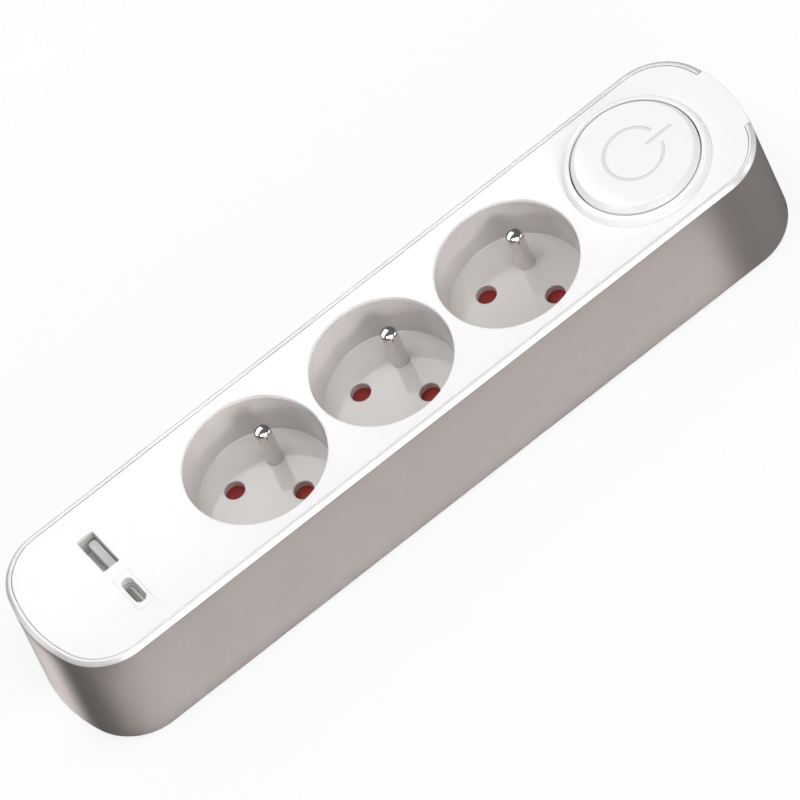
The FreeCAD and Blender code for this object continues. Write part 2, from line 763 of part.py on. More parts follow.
def round_wire(name, corners, radius):
    """A round wire through corners: straight runs joined by the largest arcs that fit."""
    points = [Vector(*(as_size(value).number for value in corner)) for corner in corners]
    runs = [end - start for start, end in zip(points, points[1:])]
    edges = []
    at = points[0]
    for corner, run_in, run_out in zip(points[1:], runs, runs[1:]):
        reach = 0.45 * min(run_in.Length, run_out.Length)
        ahead, behind = Vector(run_in).normalize(), Vector(run_out).normalize()
        start, end = corner - ahead * reach, corner + behind * reach
        half_turn = ahead.getAngle(behind) / 2
        bend = reach / math.tan(half_turn)
        inward = (behind - ahead).normalize()
        middle = corner + inward * (bend / math.cos(half_turn) - bend)
        edges += [Part.LineSegment(at, start).toShape(), Part.Arc(start, middle, end).toShape()]
        at = end
    edges.append(Part.LineSegment(at, points[-1]).toShape())
    section = Part.Wire(Part.makeCircle(radius.number, points[0], runs[0]))
    item = doc.addObject("Part::Feature", name)
    item.Shape = Part.Wire(edges).makePipeShell([section], True, True)
    return item


def build_leads():
    """The leads from the switch to each pole's bar, and from the bar to the port board."""
    strip_end = s.socket_pitch + s.clip_half_length * 4
    strip_y = contact_xy + s.clip_half_gap + s.bar_thickness / 2
    switch_end = button_x - s.switch_length / 2
    board_end = port_x + s.board_length / 2
    for name, side in (("live_leads", -1), ("neutral_leads", 1)):
        to_switch = round_wire(f"{name}_switch", [
            (strip_end, strip_y * side, s.lead_z), (strip_end + s.lead_y, strip_y * side, s.lead_z),
            (switch_end - s.lead_y, s.lead_y * side, s.lead_z + 2), (switch_end, s.lead_y * side, s.lead_z + 2)],
            s.lead_radius)
        to_board = round_wire(f"{name}_board", [
            (-strip_end, strip_y * side, s.lead_z), (-strip_end - s.lead_y, strip_y * side, s.lead_z),
            (board_end - s.lead_y, s.lead_y * side, s.board_z - s.lead_y / 2),
            (board_end - s.lead_y, s.lead_y * side, s.board_z)], s.lead_radius)
        node(group(name, [to_switch, to_board]), name)


# --- switch ---------------------------------------------------------------------------------


def build_button_bezel():
    """The collar round the button: it drops through the plate and holds under it by a flange."""
    body = new_body("button_bezel")
    bore = s.button_radius + s.button_gap
    low_bore = s.button_radius + s.button_flange + s.button_gap
    skirt = low_bore + s.button_skirt / 1.5
    flange = bezel_radius + s.bezel_flange
    revolve(body, "bezel_ring", [
        (bore, collar_top), (bore + s.collar_land, collar_top),
        (bore + s.collar_land + s.rim_chamfer * 0.7, top + s.collar_rise * 0.42),
        (bezel_radius, top), (bezel_radius, plate_under - s.seam),
        (flange, plate_under - s.seam), (flange, plate_under - s.plate_thickness),
        (skirt, plate_under - s.plate_thickness), (skirt, flange_top - s.button_travel * 2),
        (low_bore, flange_top - s.button_travel * 2), (low_bore, flange_top + s.clearance),
        (bore, flange_top + s.clearance)])
    place(body, button_x)
    return node(body, "button_bezel")


def symbol_sketch(body, name, level, shrink):
    """The standby sign: an open ring with its gap towards +X and a bar through the gap."""
    sketch = sketch_on(body, name, level)
    outer = s.symbol_radius - shrink
    inner = s.symbol_radius - s.symbol_stroke + shrink
    half_gap = SIZES["symbol_gap_angle"] / 2
    outer_arc = add_arc(sketch, 0, 0, outer, half_gap, 360 - half_gap)
    inner_arc = add_arc(sketch, 0, 0, inner, half_gap, 360 - half_gap)
    ends = []
    for angle in (half_gap, -half_gap):
        ray = Vector(math.cos(math.radians(angle)), math.sin(math.radians(angle)), 0)
        ends.append(sketch.addGeometry(Part.LineSegment(ray * inner.number, ray * outer.number), False))
    for end, place_on_arc in zip(ends, (1, 2)):
        sketch.addConstraint(Sketcher.Constraint("Coincident", end, 1, inner_arc, place_on_arc))
        sketch.addConstraint(Sketcher.Constraint("Coincident", end, 2, outer_arc, place_on_arc))
    for arc, radius in ((outer_arc, outer), (inner_arc, inner)):
        fix_point(sketch, arc, 3, 0, 0)
        fix(sketch, "Radius", (arc,), radius)
    for arc, place_on_arc, side in ((outer_arc, 1, 1), (outer_arc, 2, -1), (inner_arc, 1, 1), (inner_arc, 2, -1)):
        radius = outer if arc == outer_arc else inner
        rise = radius * math.sin(math.radians(half_gap)) * side
        fix(sketch, "DistanceY", (arc, place_on_arc), rise)
    add_rectangle(sketch, s.symbol_bar_start + s.symbol_bar_length / 2, 0,
                  s.symbol_bar_length - shrink * 2, s.symbol_stroke - shrink * 2)
    return sketch


def build_power_button():
    """The round cap: bevelled face with the sunk sign, skirt, stop flange and hub."""
    body = new_body("power_button")
    inner = s.button_radius - s.button_skirt
    revolve(body, "cap", [
        (0, button_top), (s.button_radius - s.button_bevel, button_top), (s.button_radius, collar_top),
        (s.button_radius, flange_top), (s.button_radius + s.button_flange, flange_top),
        (s.button_radius + s.button_flange, flange_top - s.button_skirt),
        (inner, flange_top - s.button_skirt), (inner, button_top - s.button_skin),
        (s.hub_radius, button_top - s.button_skin), (s.hub_radius, hub_under), (0, hub_under)])
    pocket(body, "sign_recess", symbol_sketch(body, "sign_plan", button_top, ZERO), s.symbol_depth)
    place(body, button_x)
    return node(body, "power_button")


def build_power_symbol():
    """The translucent inlay that fills the button's sign."""
    body = new_body("power_symbol")
    level = button_top - s.symbol_depth
    pad(body, "sign", symbol_sketch(body, "sign_inlay_plan", level, s.screw_slack / 2), s.symbol_depth - s.seam)
    place(body, button_x)
    return node(body, "power_symbol")


def build_switch():
    """The latching switch, its plunger and the button's return spring."""
    case = box("switch_case", button_x, 0, s.switch_base, s.switch_length, s.switch_width,
               s.switch_top - s.switch_base)
    bore = cylinder("switch_bore", button_x, 0, s.switch_top - s.plunger_entry - s.button_travel - s.clearance,
                    s.plunger_radius + s.screw_slack, s.well_depth)
    node(cut("switch_body", case, bore), "switch_body")
    plunger = cylinder("switch_plunger", button_x, 0, s.switch_top - s.plunger_entry, s.plunger_radius,
                       hub_under - s.switch_top + s.plunger_entry)
    node(plunger, "switch_plunger")

    steps_per_turn = 12
    low = s.switch_top + s.spring_wire
    rise = (hub_under - s.spring_wire - low) / (s.spring_turns * steps_per_turn)
    corners = []
    for step in range(int(s.spring_turns.number) * steps_per_turn + 1):
        angle = math.tau * step / steps_per_turn
        corners.append((button_x + s.spring_radius * math.cos(angle), s.spring_radius * math.sin(angle),
                        low + rise * step))
    coil = round_wire("button_coil", corners, s.spring_wire)
    node(coil, "button_spring")


# --- charging ports -------------------------------------------------------------------------


def build_ports():
    """The port board with the two receptacles, the flush insert and the supply's large parts."""
    shell_top = plate_under - s.clearance
    board = box("board_blank", port_x, 0, s.board_z, s.board_length, s.board_width, s.board_thickness)
    holes = [cylinder(f"board_hole_{index}", x, y, s.board_z - 1, s.screw_radius + s.seam, s.board_thickness + 2)
             for index, (x, y) in enumerate(board_spots)]
    node(cut("port_board", board, group("board_holes", holes)), "port_board")

    sheet_twice = s.shell_sheet * 2
    case = box("usb_a_case", port_x, s.usb_a_y, board_top, s.usb_a_short + sheet_twice,
               s.usb_a_long + sheet_twice, shell_top - board_top)
    mouth = box("usb_a_mouth", port_x, s.usb_a_y, board_top + s.shell_sheet, s.usb_a_short, s.usb_a_long,
                s.body_height)
    node(cut("usb_a_shell", case, mouth), "usb_a_shell")
    tongue_z = board_top + s.shell_sheet
    block = box("usb_a_block", port_x, s.usb_a_y, tongue_z, s.usb_a_short - s.seam * 2,
                s.usb_a_long - s.seam * 2, s.usb_a_short)
    blade = box("usb_a_blade", port_x + s.tongue_a_offset, s.usb_a_y, tongue_z, s.tongue_a_thickness,
                s.tongue_a_width, shell_top - tongue_z - s.shell_sheet)
    node(fuse("usb_a_tongue", [block, blade]), "usb_a_tongue")

    insert_under = top - s.insert_depth
    slack = s.seam * 2
    face = box("usb_c_face", port_x, s.usb_c_y, insert_under, s.window_short - slack, s.window_long - slack,
               s.insert_depth)
    brim = box("usb_c_brim", port_x, s.usb_c_y, insert_under, s.window_short + s.rim_chamfer,
               s.window_long + s.rim_chamfer, plate_under - s.seam - insert_under)
    hole = obround("usb_c_hole", port_x, s.usb_c_y, insert_under - 1, s.usb_c_long + s.usb_c_mouth,
                   s.usb_c_short + s.usb_c_mouth, s.insert_depth + 2)
    node(cut("usb_c_insert", fuse("usb_c_plug", [face, brim]), hole), "usb_c_insert")

    can_top = insert_under - s.seam
    can = obround("usb_c_can", port_x, s.usb_c_y, board_top, s.usb_c_long, s.usb_c_short, can_top - board_top)
    can_mouth = obround("usb_c_can_mouth", port_x, s.usb_c_y, board_top + s.shell_sheet,
                        s.usb_c_long - sheet_twice, s.usb_c_short - sheet_twice, s.body_height)
    node(cut("usb_c_shell", can, can_mouth), "usb_c_shell")
    heel = obround("usb_c_heel", port_x, s.usb_c_y, tongue_z, s.usb_c_long - sheet_twice - slack,
                   s.usb_c_short - sheet_twice - slack, s.usb_a_short)
    lamella = box("usb_c_lamella", port_x, s.usb_c_y, tongue_z, s.tongue_c_thickness, s.tongue_c_width,
                  can_top - tongue_z - s.rim_chamfer)
    node(fuse("usb_c_tongue", [heel, lamella]), "usb_c_tongue")

    core = box("transformer_core", transformer_x, 0, board_top, s.transformer_length, s.transformer_width,
               s.transformer_height)
    winding = cylinder("transformer_winding", transformer_x, 0, board_top + s.transformer_height / 6,
                       s.transformer_length * 0.56, s.transformer_height * 2 / 3)
    node(fuse("transformer", [core, winding]), "transformer")
    cans = [cylinder(f"capacitor_{side + 1}", capacitor_x, s.capacitor_y * side, board_top,
                     s.capacitor_radius, s.capacitor_height) for side in (-1, 1)]
    node(group("capacitors", cans), "capacitors")


# --- cord entry -----------------------------------------------------------------------------


def build_cord_entry():
    """The gland in the end wall and the clamp that would hold the cord behind it."""
    bow_centre = half_length - s.end_radius
    flush_x = bow_centre + root(s.end_radius * s.end_radius - s.gland_radius * s.gland_radius) - s.seam
    flange_radius = s.gland_radius + s.gland_flange_width
    inner_bow = s.end_radius - s.wall
    flange_x = bow_centre + root(inner_bow * inner_bow - flange_radius * flange_radius) - s.seam
    flange = lying_cylinder("gland_flange", flange_x - s.gland_flange, 0, s.gland_z, flange_radius, s.gland_flange)
    barrel = lying_cylinder("gland_barrel", flange_x - s.gland_flange, 0, s.gland_z, s.gland_radius,
                            flush_x - flange_x + s.gland_flange)
    bore = lying_cylinder("gland_bore_tool", flange_x - s.gland_flange - 1, 0, s.gland_z, s.gland_bore, s.wall * 4)
    node(cut("cord_gland", fuse("gland_solid", [flange, barrel]), bore), "cord_gland")

    bar_length = (s.clamp_half_spread + s.boss_radius) * 2
    bar = box("clamp_blank", clamp_x, 0, clamp_under, s.clamp_width, bar_length, s.clamp_thickness)
    holes = [cylinder(f"clamp_hole_{index}", x, y, clamp_under - 1, s.screw_radius + s.seam,
                      s.clamp_thickness + 2) for index, (x, y) in enumerate(clamp_spots)]
    node(cut("cord_clamp", bar, group("clamp_holes", holes)), "cord_clamp")


# --- assembly -------------------------------------------------------------------------------

build_base_housing()
build_rim_frame()
build_top_cover()
build_feet()
build_screws()
for socket_number, socket_x in enumerate(socket_xs, start=1):
    build_socket_cup(socket_number, socket_x)
    build_earth_pin(socket_number, socket_x)
    build_shutter(socket_number, socket_x)
    build_shutter_guide(socket_number, socket_x)
build_contact_bar("live_bar", -1)
build_contact_bar("neutral_bar", 1)
build_earth_bar()
build_leads()
build_button_bezel()
build_power_button()
build_power_symbol()
build_switch()
build_ports()
build_cord_entry()
doc.recompute()

for item in doc.Objects:
    if "Invalid" in item.State or "Error" in item.State:
        raise SystemExit(f"{item.Name} did not rebuild: {item.State}")
for item in nodes:
    if item.Shape.isNull() or not item.Shape.isValid() or not item.Shape.Solids:
        raise SystemExit(f"{item.Label} has no valid shape")

os.makedirs("parts", exist_ok=True)
for item in nodes:
    item.Shape.exportStep(f"parts/{item.Label}.step")
    print(f"{item.Label:18s} solids {len(item.Shape.Solids)} volume {item.Shape.Volume:10.1f}")
print(len(nodes), "nodes")
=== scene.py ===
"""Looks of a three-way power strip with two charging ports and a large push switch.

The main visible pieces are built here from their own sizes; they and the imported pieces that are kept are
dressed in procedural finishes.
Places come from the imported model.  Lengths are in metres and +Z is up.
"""

import logging
import math
from dataclasses import dataclass
from enum import Enum
from typing import Callable, Sequence

import bmesh
import bpy
from mathutils import Matrix, Vector


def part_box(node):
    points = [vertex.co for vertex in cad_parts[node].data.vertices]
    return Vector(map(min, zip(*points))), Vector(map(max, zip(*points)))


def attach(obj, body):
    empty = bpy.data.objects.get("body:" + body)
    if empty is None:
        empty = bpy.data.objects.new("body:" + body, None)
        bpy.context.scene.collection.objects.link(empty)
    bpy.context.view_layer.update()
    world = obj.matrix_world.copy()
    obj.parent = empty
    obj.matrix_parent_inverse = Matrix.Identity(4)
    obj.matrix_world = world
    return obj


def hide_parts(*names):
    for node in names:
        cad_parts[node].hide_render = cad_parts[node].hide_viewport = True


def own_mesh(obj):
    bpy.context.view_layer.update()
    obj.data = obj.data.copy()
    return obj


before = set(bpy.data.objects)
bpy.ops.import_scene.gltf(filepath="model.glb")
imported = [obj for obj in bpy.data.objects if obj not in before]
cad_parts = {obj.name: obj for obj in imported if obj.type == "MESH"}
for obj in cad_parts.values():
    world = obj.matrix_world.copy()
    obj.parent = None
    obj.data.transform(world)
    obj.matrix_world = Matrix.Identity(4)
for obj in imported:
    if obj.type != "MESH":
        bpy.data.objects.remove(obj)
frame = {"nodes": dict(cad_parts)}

LOG = logging.getLogger("power_strip")
MM = 0.001
ROUNDING_STEP = math.radians(15)
STEP_SLACK = 0.01
LEAST_RADIUS = 0.02 * MM
LIP_STEPS = 5
ROUND_SIDES = 64
LARGE_SIDES = 128
CREASE = math.radians(32)
WELD = 1e-7
EVEN = (1, 1, 1)
DRAWN = (1, 1, 0.04)
PATCH_DETAIL = 3.0
GRAIN_DETAIL = 2.0
WINDOW_LENGTH = 5.3 * MM
WINDOW_WIDTH = 12.7 * MM
WINDOW_ROUNDING = 0.35 * MM
SEAT_GAP = 0.1 * MM

Point = tuple[float, float]
Corner = tuple[float, float, float]
Ring = list[bmesh.types.BMVert]
Contour = Callable[[float], list[Point]]


class Body(Enum):
    """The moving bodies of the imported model."""

    HOUSING = "housing"
    BUTTON = "button"


class Slot(Enum):
    """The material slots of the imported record."""

    CASING = "casing_grey"
    RIM = "rim_white"
    COVER = "cover_white"
    BEZEL = "bezel_white"
    BUTTON = "button_white"
    SYMBOL = "symbol_grey"
    WELL = "well_plastic"
    SHUTTER = "shutter_red"
    INSULATOR = "insulator"
    PIN = "pin_metal"
    BRASS = "contact_brass"
    LEAD_LIVE = "lead_brown"
    LEAD_NEUTRAL = "lead_blue"
    STEEL = "steel"
    SHELL = "shell_steel"
    TONGUE = "tongue_grey"
    TONGUE_DARK = "tongue_dark"
    SWITCH = "switch_black"
    BOARD = "board_green"
    WINDING = "winding_yellow"
    CAPACITOR = "capacitor_black"
    RUBBER = "rubber"
    CLAMP = "clamp_plastic"


class Grain(Enum):
    """How a surface was made, which sets the direction and shape of its fine relief."""

    MOULDED = "moulded"
    DRAWN = "drawn"
    MATT = "matt"


# --- plan shapes ----------------------------------------------------------------------------


def arc(centre: Point, radius: float, start: float, end: float, count: int) -> list[Point]:
    """Points along an arc, without its last one.

    Args:
        centre: Centre of the arc.
        radius: Radius of the arc.
        start: First angle in radians.
        end: Last angle in radians.
        count: Number of equal steps.

    Returns:
        The first point and those after each step but the last.
    """
    angles = [start + (end - start) * step / count for step in range(count)]
    return [(centre[0] + radius * math.cos(a), centre[1] + radius * math.sin(a)) for a in angles]


def circle(x: float, y: float, radius: float, count: int = ROUND_SIDES) -> Contour:
    """A circle that can grow or shrink.

    Args:
        x: Centre along the length.
        y: Centre across the width.
        radius: Radius when the growth is nought.
        count: Number of sides.

    Returns:
        A function from the growth to the points.
    """
    return lambda grow: arc((x, y), radius + grow, 0, math.tau, count)


def rounded(corners: Sequence[Corner]) -> list[Point]:
    """A closed outline with each corner rounded by its own radius.

    Args:
        corners: Each corner's two coordinates and its rounding radius.

    Returns:
        The points of the outline in the same order.
    """
    points: list[Point] = []
    for index, (x, y, radius) in enumerate(corners):
        if radius <= 0:
            points.append((x, y))
            continue
        corner = Vector((x, y))
        behind = (Vector(corners[index - 1][:2]) - corner).normalized()
        ahead = (Vector(corners[(index + 1) % len(corners)][:2]) - corner).normalized()
        half = behind.angle(ahead) / 2
        centre = corner + (behind + ahead).normalized() * (radius / math.sin(half))
        start = corner + behind * (radius / math.tan(half)) - centre
        end = corner + ahead * (radius / math.tan(half)) - centre
        first = math.atan2(start.y, start.x)
        sweep = math.remainder(math.atan2(end.y, end.x) - first, math.tau)
        count = max(2, math.ceil(abs(sweep) / ROUNDING_STEP - STEP_SLACK))
        points += arc(centre, radius, first, first + sweep, count)
        points.append((centre.x + end.x, centre.y + end.y))
    return points


def block(x: float, y: float, length: float, width: float, rounding: float) -> Contour:
    """A rectangle with rounded corners that can grow or shrink.

    Args:
        x: Centre along the length.
        y: Centre across the width.
        length: Size along X.
        width: Size along Y.
        rounding: Corner radius when the growth is nought.

    Returns:
        A function from the growth to the points.
    """
    def grown(grow: float) -> list[Point]:
        """The points of the rectangle.

        Args:
            grow: How much it is grown all round.

        Returns:
            The points.
        """
        half_x, half_y = length / 2 + grow, width / 2 + grow
        radius = max(rounding + grow, LEAST_RADIUS)
        signs = ((1, -1), (1, 1), (-1, 1), (-1, -1))
        return rounded([(x + half_x * sx, y + half_y * sy, radius) for sx, sy in signs])
    return grown


def lip(radius: float, level: float, outward: bool = True) -> list[Point]:
    """Growth and height along a rounded edge, from the flat face over and down.

    Args:
        radius: Radius of the rounding.
        level: Height of the flat face.
        outward: True at the rim of a hole, False at the edge of a boss or plate.

    Returns:
        Pairs of growth and height.
    """
    side = 1 if outward else -1
    steps = [math.pi / 2 * step / LIP_STEPS for step in range(LIP_STEPS + 1)]
    return [(side * radius * (1 - math.sin(a)), level - radius * (1 - math.cos(a))) for a in steps]


@dataclass(frozen=True)
class Outline:
    """The casing's plan outline: straight sides, bowed ends and round corners."""

    half_length: float
    half_width: float
    end_radius: float = 43.5 * MM
    corner_radius: float = 16.85 * MM
    corner_steps: int = 28
    bow_steps: int = 8

    @property
    def bow_x(self) -> float:
        """Distance of each bow's centre from the middle."""
        return self.half_length - self.end_radius

    @property
    def corner_y(self) -> float:
        """Distance of each corner's centre from the long axis."""
        return self.half_width - self.corner_radius

    @property
    def corner_x(self) -> float:
        """Distance of each corner's centre from the middle."""
        reach = self.end_radius - self.corner_radius
        return self.bow_x + math.sqrt(reach * reach - self.corner_y ** 2)

    @property
    def turn(self) -> float:
        """Angle at which the bow meets the corner."""
        return math.atan2(self.corner_y, self.corner_x - self.bow_x)

    def bow(self, inset: float, low: float, high: float, steps: int) -> list[Point]:
        """Points of the +X bow between two places across the width, both included.

        Args:
            inset: Distance in from the outer face.
            low: Where on the bow the points start, across the width.
            high: Where they end.
            steps: Number of equal steps.

        Returns:
            The points.
        """
        radius = self.end_radius - inset
        start, end = math.asin(low / radius), math.asin(high / radius)
        points = arc((self.bow_x, 0), radius, start, end, steps)
        return points + [(self.bow_x + radius * math.cos(end), radius * math.sin(end))]

    def round_trip(self, inset: float, start_y: float, end_y: float) -> list[Point]:
        """Once round anticlockwise from the +X end to the same end.

        Args:
            inset: Distance in from the outer face.
            start_y: Where on the +X bow the trip starts.
            end_y: Where on the +X bow the trip ends.

        Returns:
            The points, both ends included.
        """
        bow, corner = self.end_radius - inset, self.corner_radius - inset
        cx, cy, turn = self.corner_x, self.corner_y, self.turn
        quarter, half = math.pi / 2, math.pi
        start, end = math.asin(start_y / bow), math.asin(end_y / bow)
        points = arc((self.bow_x, 0), bow, start, turn, self.bow_steps)
        points += arc((cx, cy), corner, turn, quarter, self.corner_steps)
        points += arc((-cx, cy), corner, quarter, half - turn, self.corner_steps)
        points += arc((-self.bow_x, 0), bow, half - turn, half + turn, self.bow_steps * 2)
        points += arc((-cx, -cy), corner, half + turn, half + quarter, self.corner_steps)
        points += arc((cx, -cy), corner, -quarter, -turn, self.corner_steps)
        points += arc((self.bow_x, 0), bow, -turn, end, self.bow_steps)
        return points + [(self.bow_x + bow * math.cos(end), bow * math.sin(end))]

    def loop(self, grow: float) -> list[Point]:
        """The whole closed outline, grown all round."""
        return self.round_trip(-grow, 0, 0)[:-1]


# --- solids ---------------------------------------------------------------------------------


def put(name: str, data: bpy.types.ID) -> bpy.types.Object:
    """Put a new object into the scene.

    Args:
        name: Name of the object.
        data: The mesh, lamp or camera it shows.

    Returns:
        The object.
    """
    item = bpy.data.objects.new(name, data)
    bpy.context.scene.collection.objects.link(item)
    return item


class Solid:
    """A closed mesh under construction: walls between rings of points, and flat caps."""

    def __init__(self) -> None:
        """Start with nothing."""
        self.mesh = bmesh.new()

    def ring(self, points: Sequence[Point], level: float) -> Ring:
        """New corners at one height."""
        return [self.mesh.verts.new((x, y, level)) for x, y in points]

    def bridge(self, first: Ring, second: Ring) -> None:
        """A wall of four-sided faces between two rings of equal count.

        Args:
            first: The ring the wall starts from.
            second: The ring it ends at.
        """
        for index, corner in enumerate(first):
            following = (index + 1) % len(first)
            self.mesh.faces.new((corner, first[following], second[following], second[index]))

    def stack(self, contour: Contour, levels: Sequence[Point], closed: bool = False) -> tuple[Ring, Ring]:
        """A wall through several rings of one contour.

        Args:
            contour: The plan shape.
            levels: Growth and height of each ring.
            closed: True to join the last ring to the first.

        Returns:
            The first and the last ring.
        """
        rings = [self.ring(contour(grow), level) for grow, level in levels]
        for first, second in zip(rings, rings[1:]):
            self.bridge(first, second)
        if closed:
            self.bridge(rings[-1], rings[0])
        return rings[0], rings[-1]

    def turned(self, x: float, y: float, profile: Sequence[Corner], count: int = ROUND_SIDES) -> None:
        """A solid of revolution about an upright axis.

        Args:
            x: Axis along the length.
            y: Axis across the width.
            profile: Radius, height and rounding of each corner of the half section.
            count: Number of sides.
        """
        self.stack(circle(x, y, 0, count), rounded(profile), closed=True)

    def cap(self, *rings: Ring) -> None:
        """A flat face inside the first ring and outside the others.

        Args:
            *rings: The outer ring, then each ring that leaves a hole.
        """
        if len(rings) == 1:
            self.mesh.faces.new(rings[0])
            return
        edges = []
        for ring in rings:
            for index, corner in enumerate(ring):
                pair = (ring[index - 1], corner)
                edges.append(self.mesh.edges.get(pair) or self.mesh.edges.new(pair))
        bmesh.ops.triangle_fill(self.mesh, use_beauty=True, use_dissolve=False, edges=edges)

    def prism(self, contour: Contour, low: float, high: float, edge: float) -> None:
        """An upright block with its upper edge rounded.

        Args:
            contour: The plan shape.
            low: Height of its foot.
            high: Height of its top.
            edge: Radius of the rounding.
        """
        levels = lip(edge, high, outward=False)
        top, _ = self.stack(contour, levels)
        _, foot = self.stack(contour, [levels[-1], (0, low)])
        self.cap(top)
        self.cap(foot)

    def cutter(self, contour: Contour, low: float, high: float) -> "Solid":
        """Build a plain upright block with sharp edges.

        Args:
            contour: The plan shape.
            low: Height of its foot.
            high: Height of its top.

        Returns:
            This solid.
        """
        for ring in self.stack(contour, [(0, low), (0, high)]):
            self.cap(ring)
        return self

    def coil(self, x: float, radius: float, wire: float, low: float, high: float, turns: int) -> None:
        """A round wire wound about an upright axis, with flat ends.

        Args:
            x: Axis along the length.
            radius: From the axis to the middle of the wire.
            wire: Half the wire's thickness.
            low: Height of the wire's middle at its foot.
            high: Height of the wire's middle at its head.
            turns: Number of turns.
        """
        steps_per_turn, sides = 32, 12
        climb = (high - low) / (turns * math.tau)
        rings = []
        for step in range(turns * steps_per_turn + 1):
            angle = math.tau * step / steps_per_turn
            outward = Vector((math.cos(angle), math.sin(angle), 0))
            along = Vector((-outward.y * radius, outward.x * radius, climb)).normalized()
            across = outward.cross(along)
            heart = Vector((x, 0, low + climb * angle)) + outward * radius
            rings.append([self.mesh.verts.new(heart + outward * near + across * far)
                          for near, far in arc((0, 0), wire, 0, math.tau, sides)])
        for first, second in zip(rings, rings[1:]):
            self.bridge(first, second)
        self.cap(rings[0])
        self.cap(rings[-1])

    def turn_by(self, matrix: Matrix) -> None:
        """Turn or move everything built so far."""
        bmesh.ops.transform(self.mesh, matrix=matrix, verts=self.mesh.verts)

    def to_mesh(self, name: str) -> bpy.types.Mesh:
        """Close the seams, face every side outwards and store the mesh.

        Args:
            name: Name of the mesh.

        Returns:
            The mesh; this solid is used up.
        """
        bmesh.ops.remove_doubles(self.mesh, verts=self.mesh.verts, dist=WELD)
        bmesh.ops.dissolve_degenerate(self.mesh, edges=self.mesh.edges, dist=WELD)
        bmesh.ops.recalc_face_normals(self.mesh, faces=self.mesh.faces)
        data = bpy.data.meshes.new(name)
        self.mesh.to_mesh(data)
        self.mesh.free()
        return data


def carve(mesh: bpy.types.Mesh, cutters: Sequence[Solid]) -> bpy.types.Mesh:
    """Cut solids out of a mesh.

    Args:
        mesh: What is cut.
        cutters: The solids that are taken away.

    Returns:
        The new mesh.
    """
    blank = put("blank", mesh)
    tools = []
    for cutter in cutters:
        tool = put("cutter", cutter.to_mesh("cutter"))
        modifier = blank.modifiers.new("cut", "BOOLEAN")
        modifier.operation = "DIFFERENCE"
        modifier.solver = "EXACT"
        modifier.object = tool
        tools.append(tool)
    view = bpy.context.evaluated_depsgraph_get()
    carved = bpy.data.meshes.new_from_object(blank.evaluated_get(view))
    for item in [blank, *tools]:
        bpy.data.objects.remove(item)
    return carved


# --- finishes -------------------------------------------------------------------------------


def linear(colour: tuple[int, int, int], share: float = 1.0) -> tuple[float, float, float, float]:
    """A screen colour as the renderer's linear one.

    Args:
        colour: Red, green and blue from 0 to 255.
        share: What the linear colour is multiplied by.

    Returns:
        The linear colour with full opacity.
    """
    def channel(value: int) -> float:
        """One channel of the colour."""
        part = value / 255
        return part / 12.92 if part <= 0.04045 else ((part + 0.055) / 1.055) ** 2.4
    return (*(min(channel(value) * share, 1.0) for value in colour), 1.0)


@dataclass(frozen=True)
class Finish:
    """A surface: its colour with slight unevenness, its gloss and its fine relief."""

    colour: tuple[int, int, int]
    roughness: float
    metallic: float = 0.0
    grain: Grain = Grain.MOULDED
    grain_size: float = 0.5 * MM
    relief: float = 0.004 * MM
    mottle: float = 0.015
    patch_size: float = 14 * MM
    roughness_play: float = 0.05
    specular: float = 0.5

    def texture(self, nodes: bpy.types.Nodes, links: bpy.types.NodeLinks, size: float,
                stretch: tuple[float, float, float], detail: float) -> bpy.types.NodeSocket:
        """A noise over the piece's own coordinates.

        Args:
            nodes: The material's nodes.
            links: The material's links.
            size: Size of one patch.
            stretch: How much finer the noise is along each axis.
            detail: How many finer layers it has.

        Returns:
            The noise's value.
        """
        place = nodes.new("ShaderNodeTexCoord")
        mapping = nodes.new("ShaderNodeMapping")
        mapping.inputs["Scale"].default_value = stretch
        noise = nodes.new("ShaderNodeTexNoise")
        noise.inputs["Scale"].default_value = 1 / size
        noise.inputs["Detail"].default_value = detail
        links.new(place.outputs["Object"], mapping.inputs["Vector"])
        links.new(mapping.outputs["Vector"], noise.inputs["Vector"])
        return noise.outputs["Fac"]

    def material(self, name: str) -> bpy.types.Material:
        """Build the node material.

        Args:
            name: Name of the material.

        Returns:
            The material.
        """
        material = bpy.data.materials.new(name)
        material.use_nodes = True
        nodes, links = material.node_tree.nodes, material.node_tree.links
        shader = nodes["Principled BSDF"]
        shader.inputs["Metallic"].default_value = self.metallic
        shader.inputs["Specular IOR Level"].default_value = self.specular

        patch = self.texture(nodes, links, self.patch_size, EVEN, PATCH_DETAIL)
        tint = nodes.new("ShaderNodeMix")
        tint.data_type = "RGBA"
        tint.inputs["A"].default_value = linear(self.colour, 1 - self.mottle)
        tint.inputs["B"].default_value = linear(self.colour, 1 + self.mottle)
        links.new(patch, tint.inputs["Factor"])
        links.new(tint.outputs["Result"], shader.inputs["Base Color"])

        stretch = DRAWN if self.grain is Grain.DRAWN else EVEN
        fine = self.texture(nodes, links, self.grain_size, stretch, GRAIN_DETAIL)
        gloss = nodes.new("ShaderNodeMapRange")
        gloss.inputs["To Min"].default_value = self.roughness - self.roughness_play
        gloss.inputs["To Max"].default_value = self.roughness + self.roughness_play
        links.new(patch if self.grain is Grain.MOULDED else fine, gloss.inputs["Value"])
        links.new(gloss.outputs["Result"], shader.inputs["Roughness"])

        bump = nodes.new("ShaderNodeBump")
        bump.inputs["Strength"].default_value = 1.0
        bump.inputs["Distance"].default_value = self.relief
        links.new(fine, bump.inputs["Height"])
        links.new(bump.outputs["Normal"], shader.inputs["Normal"])
        return material


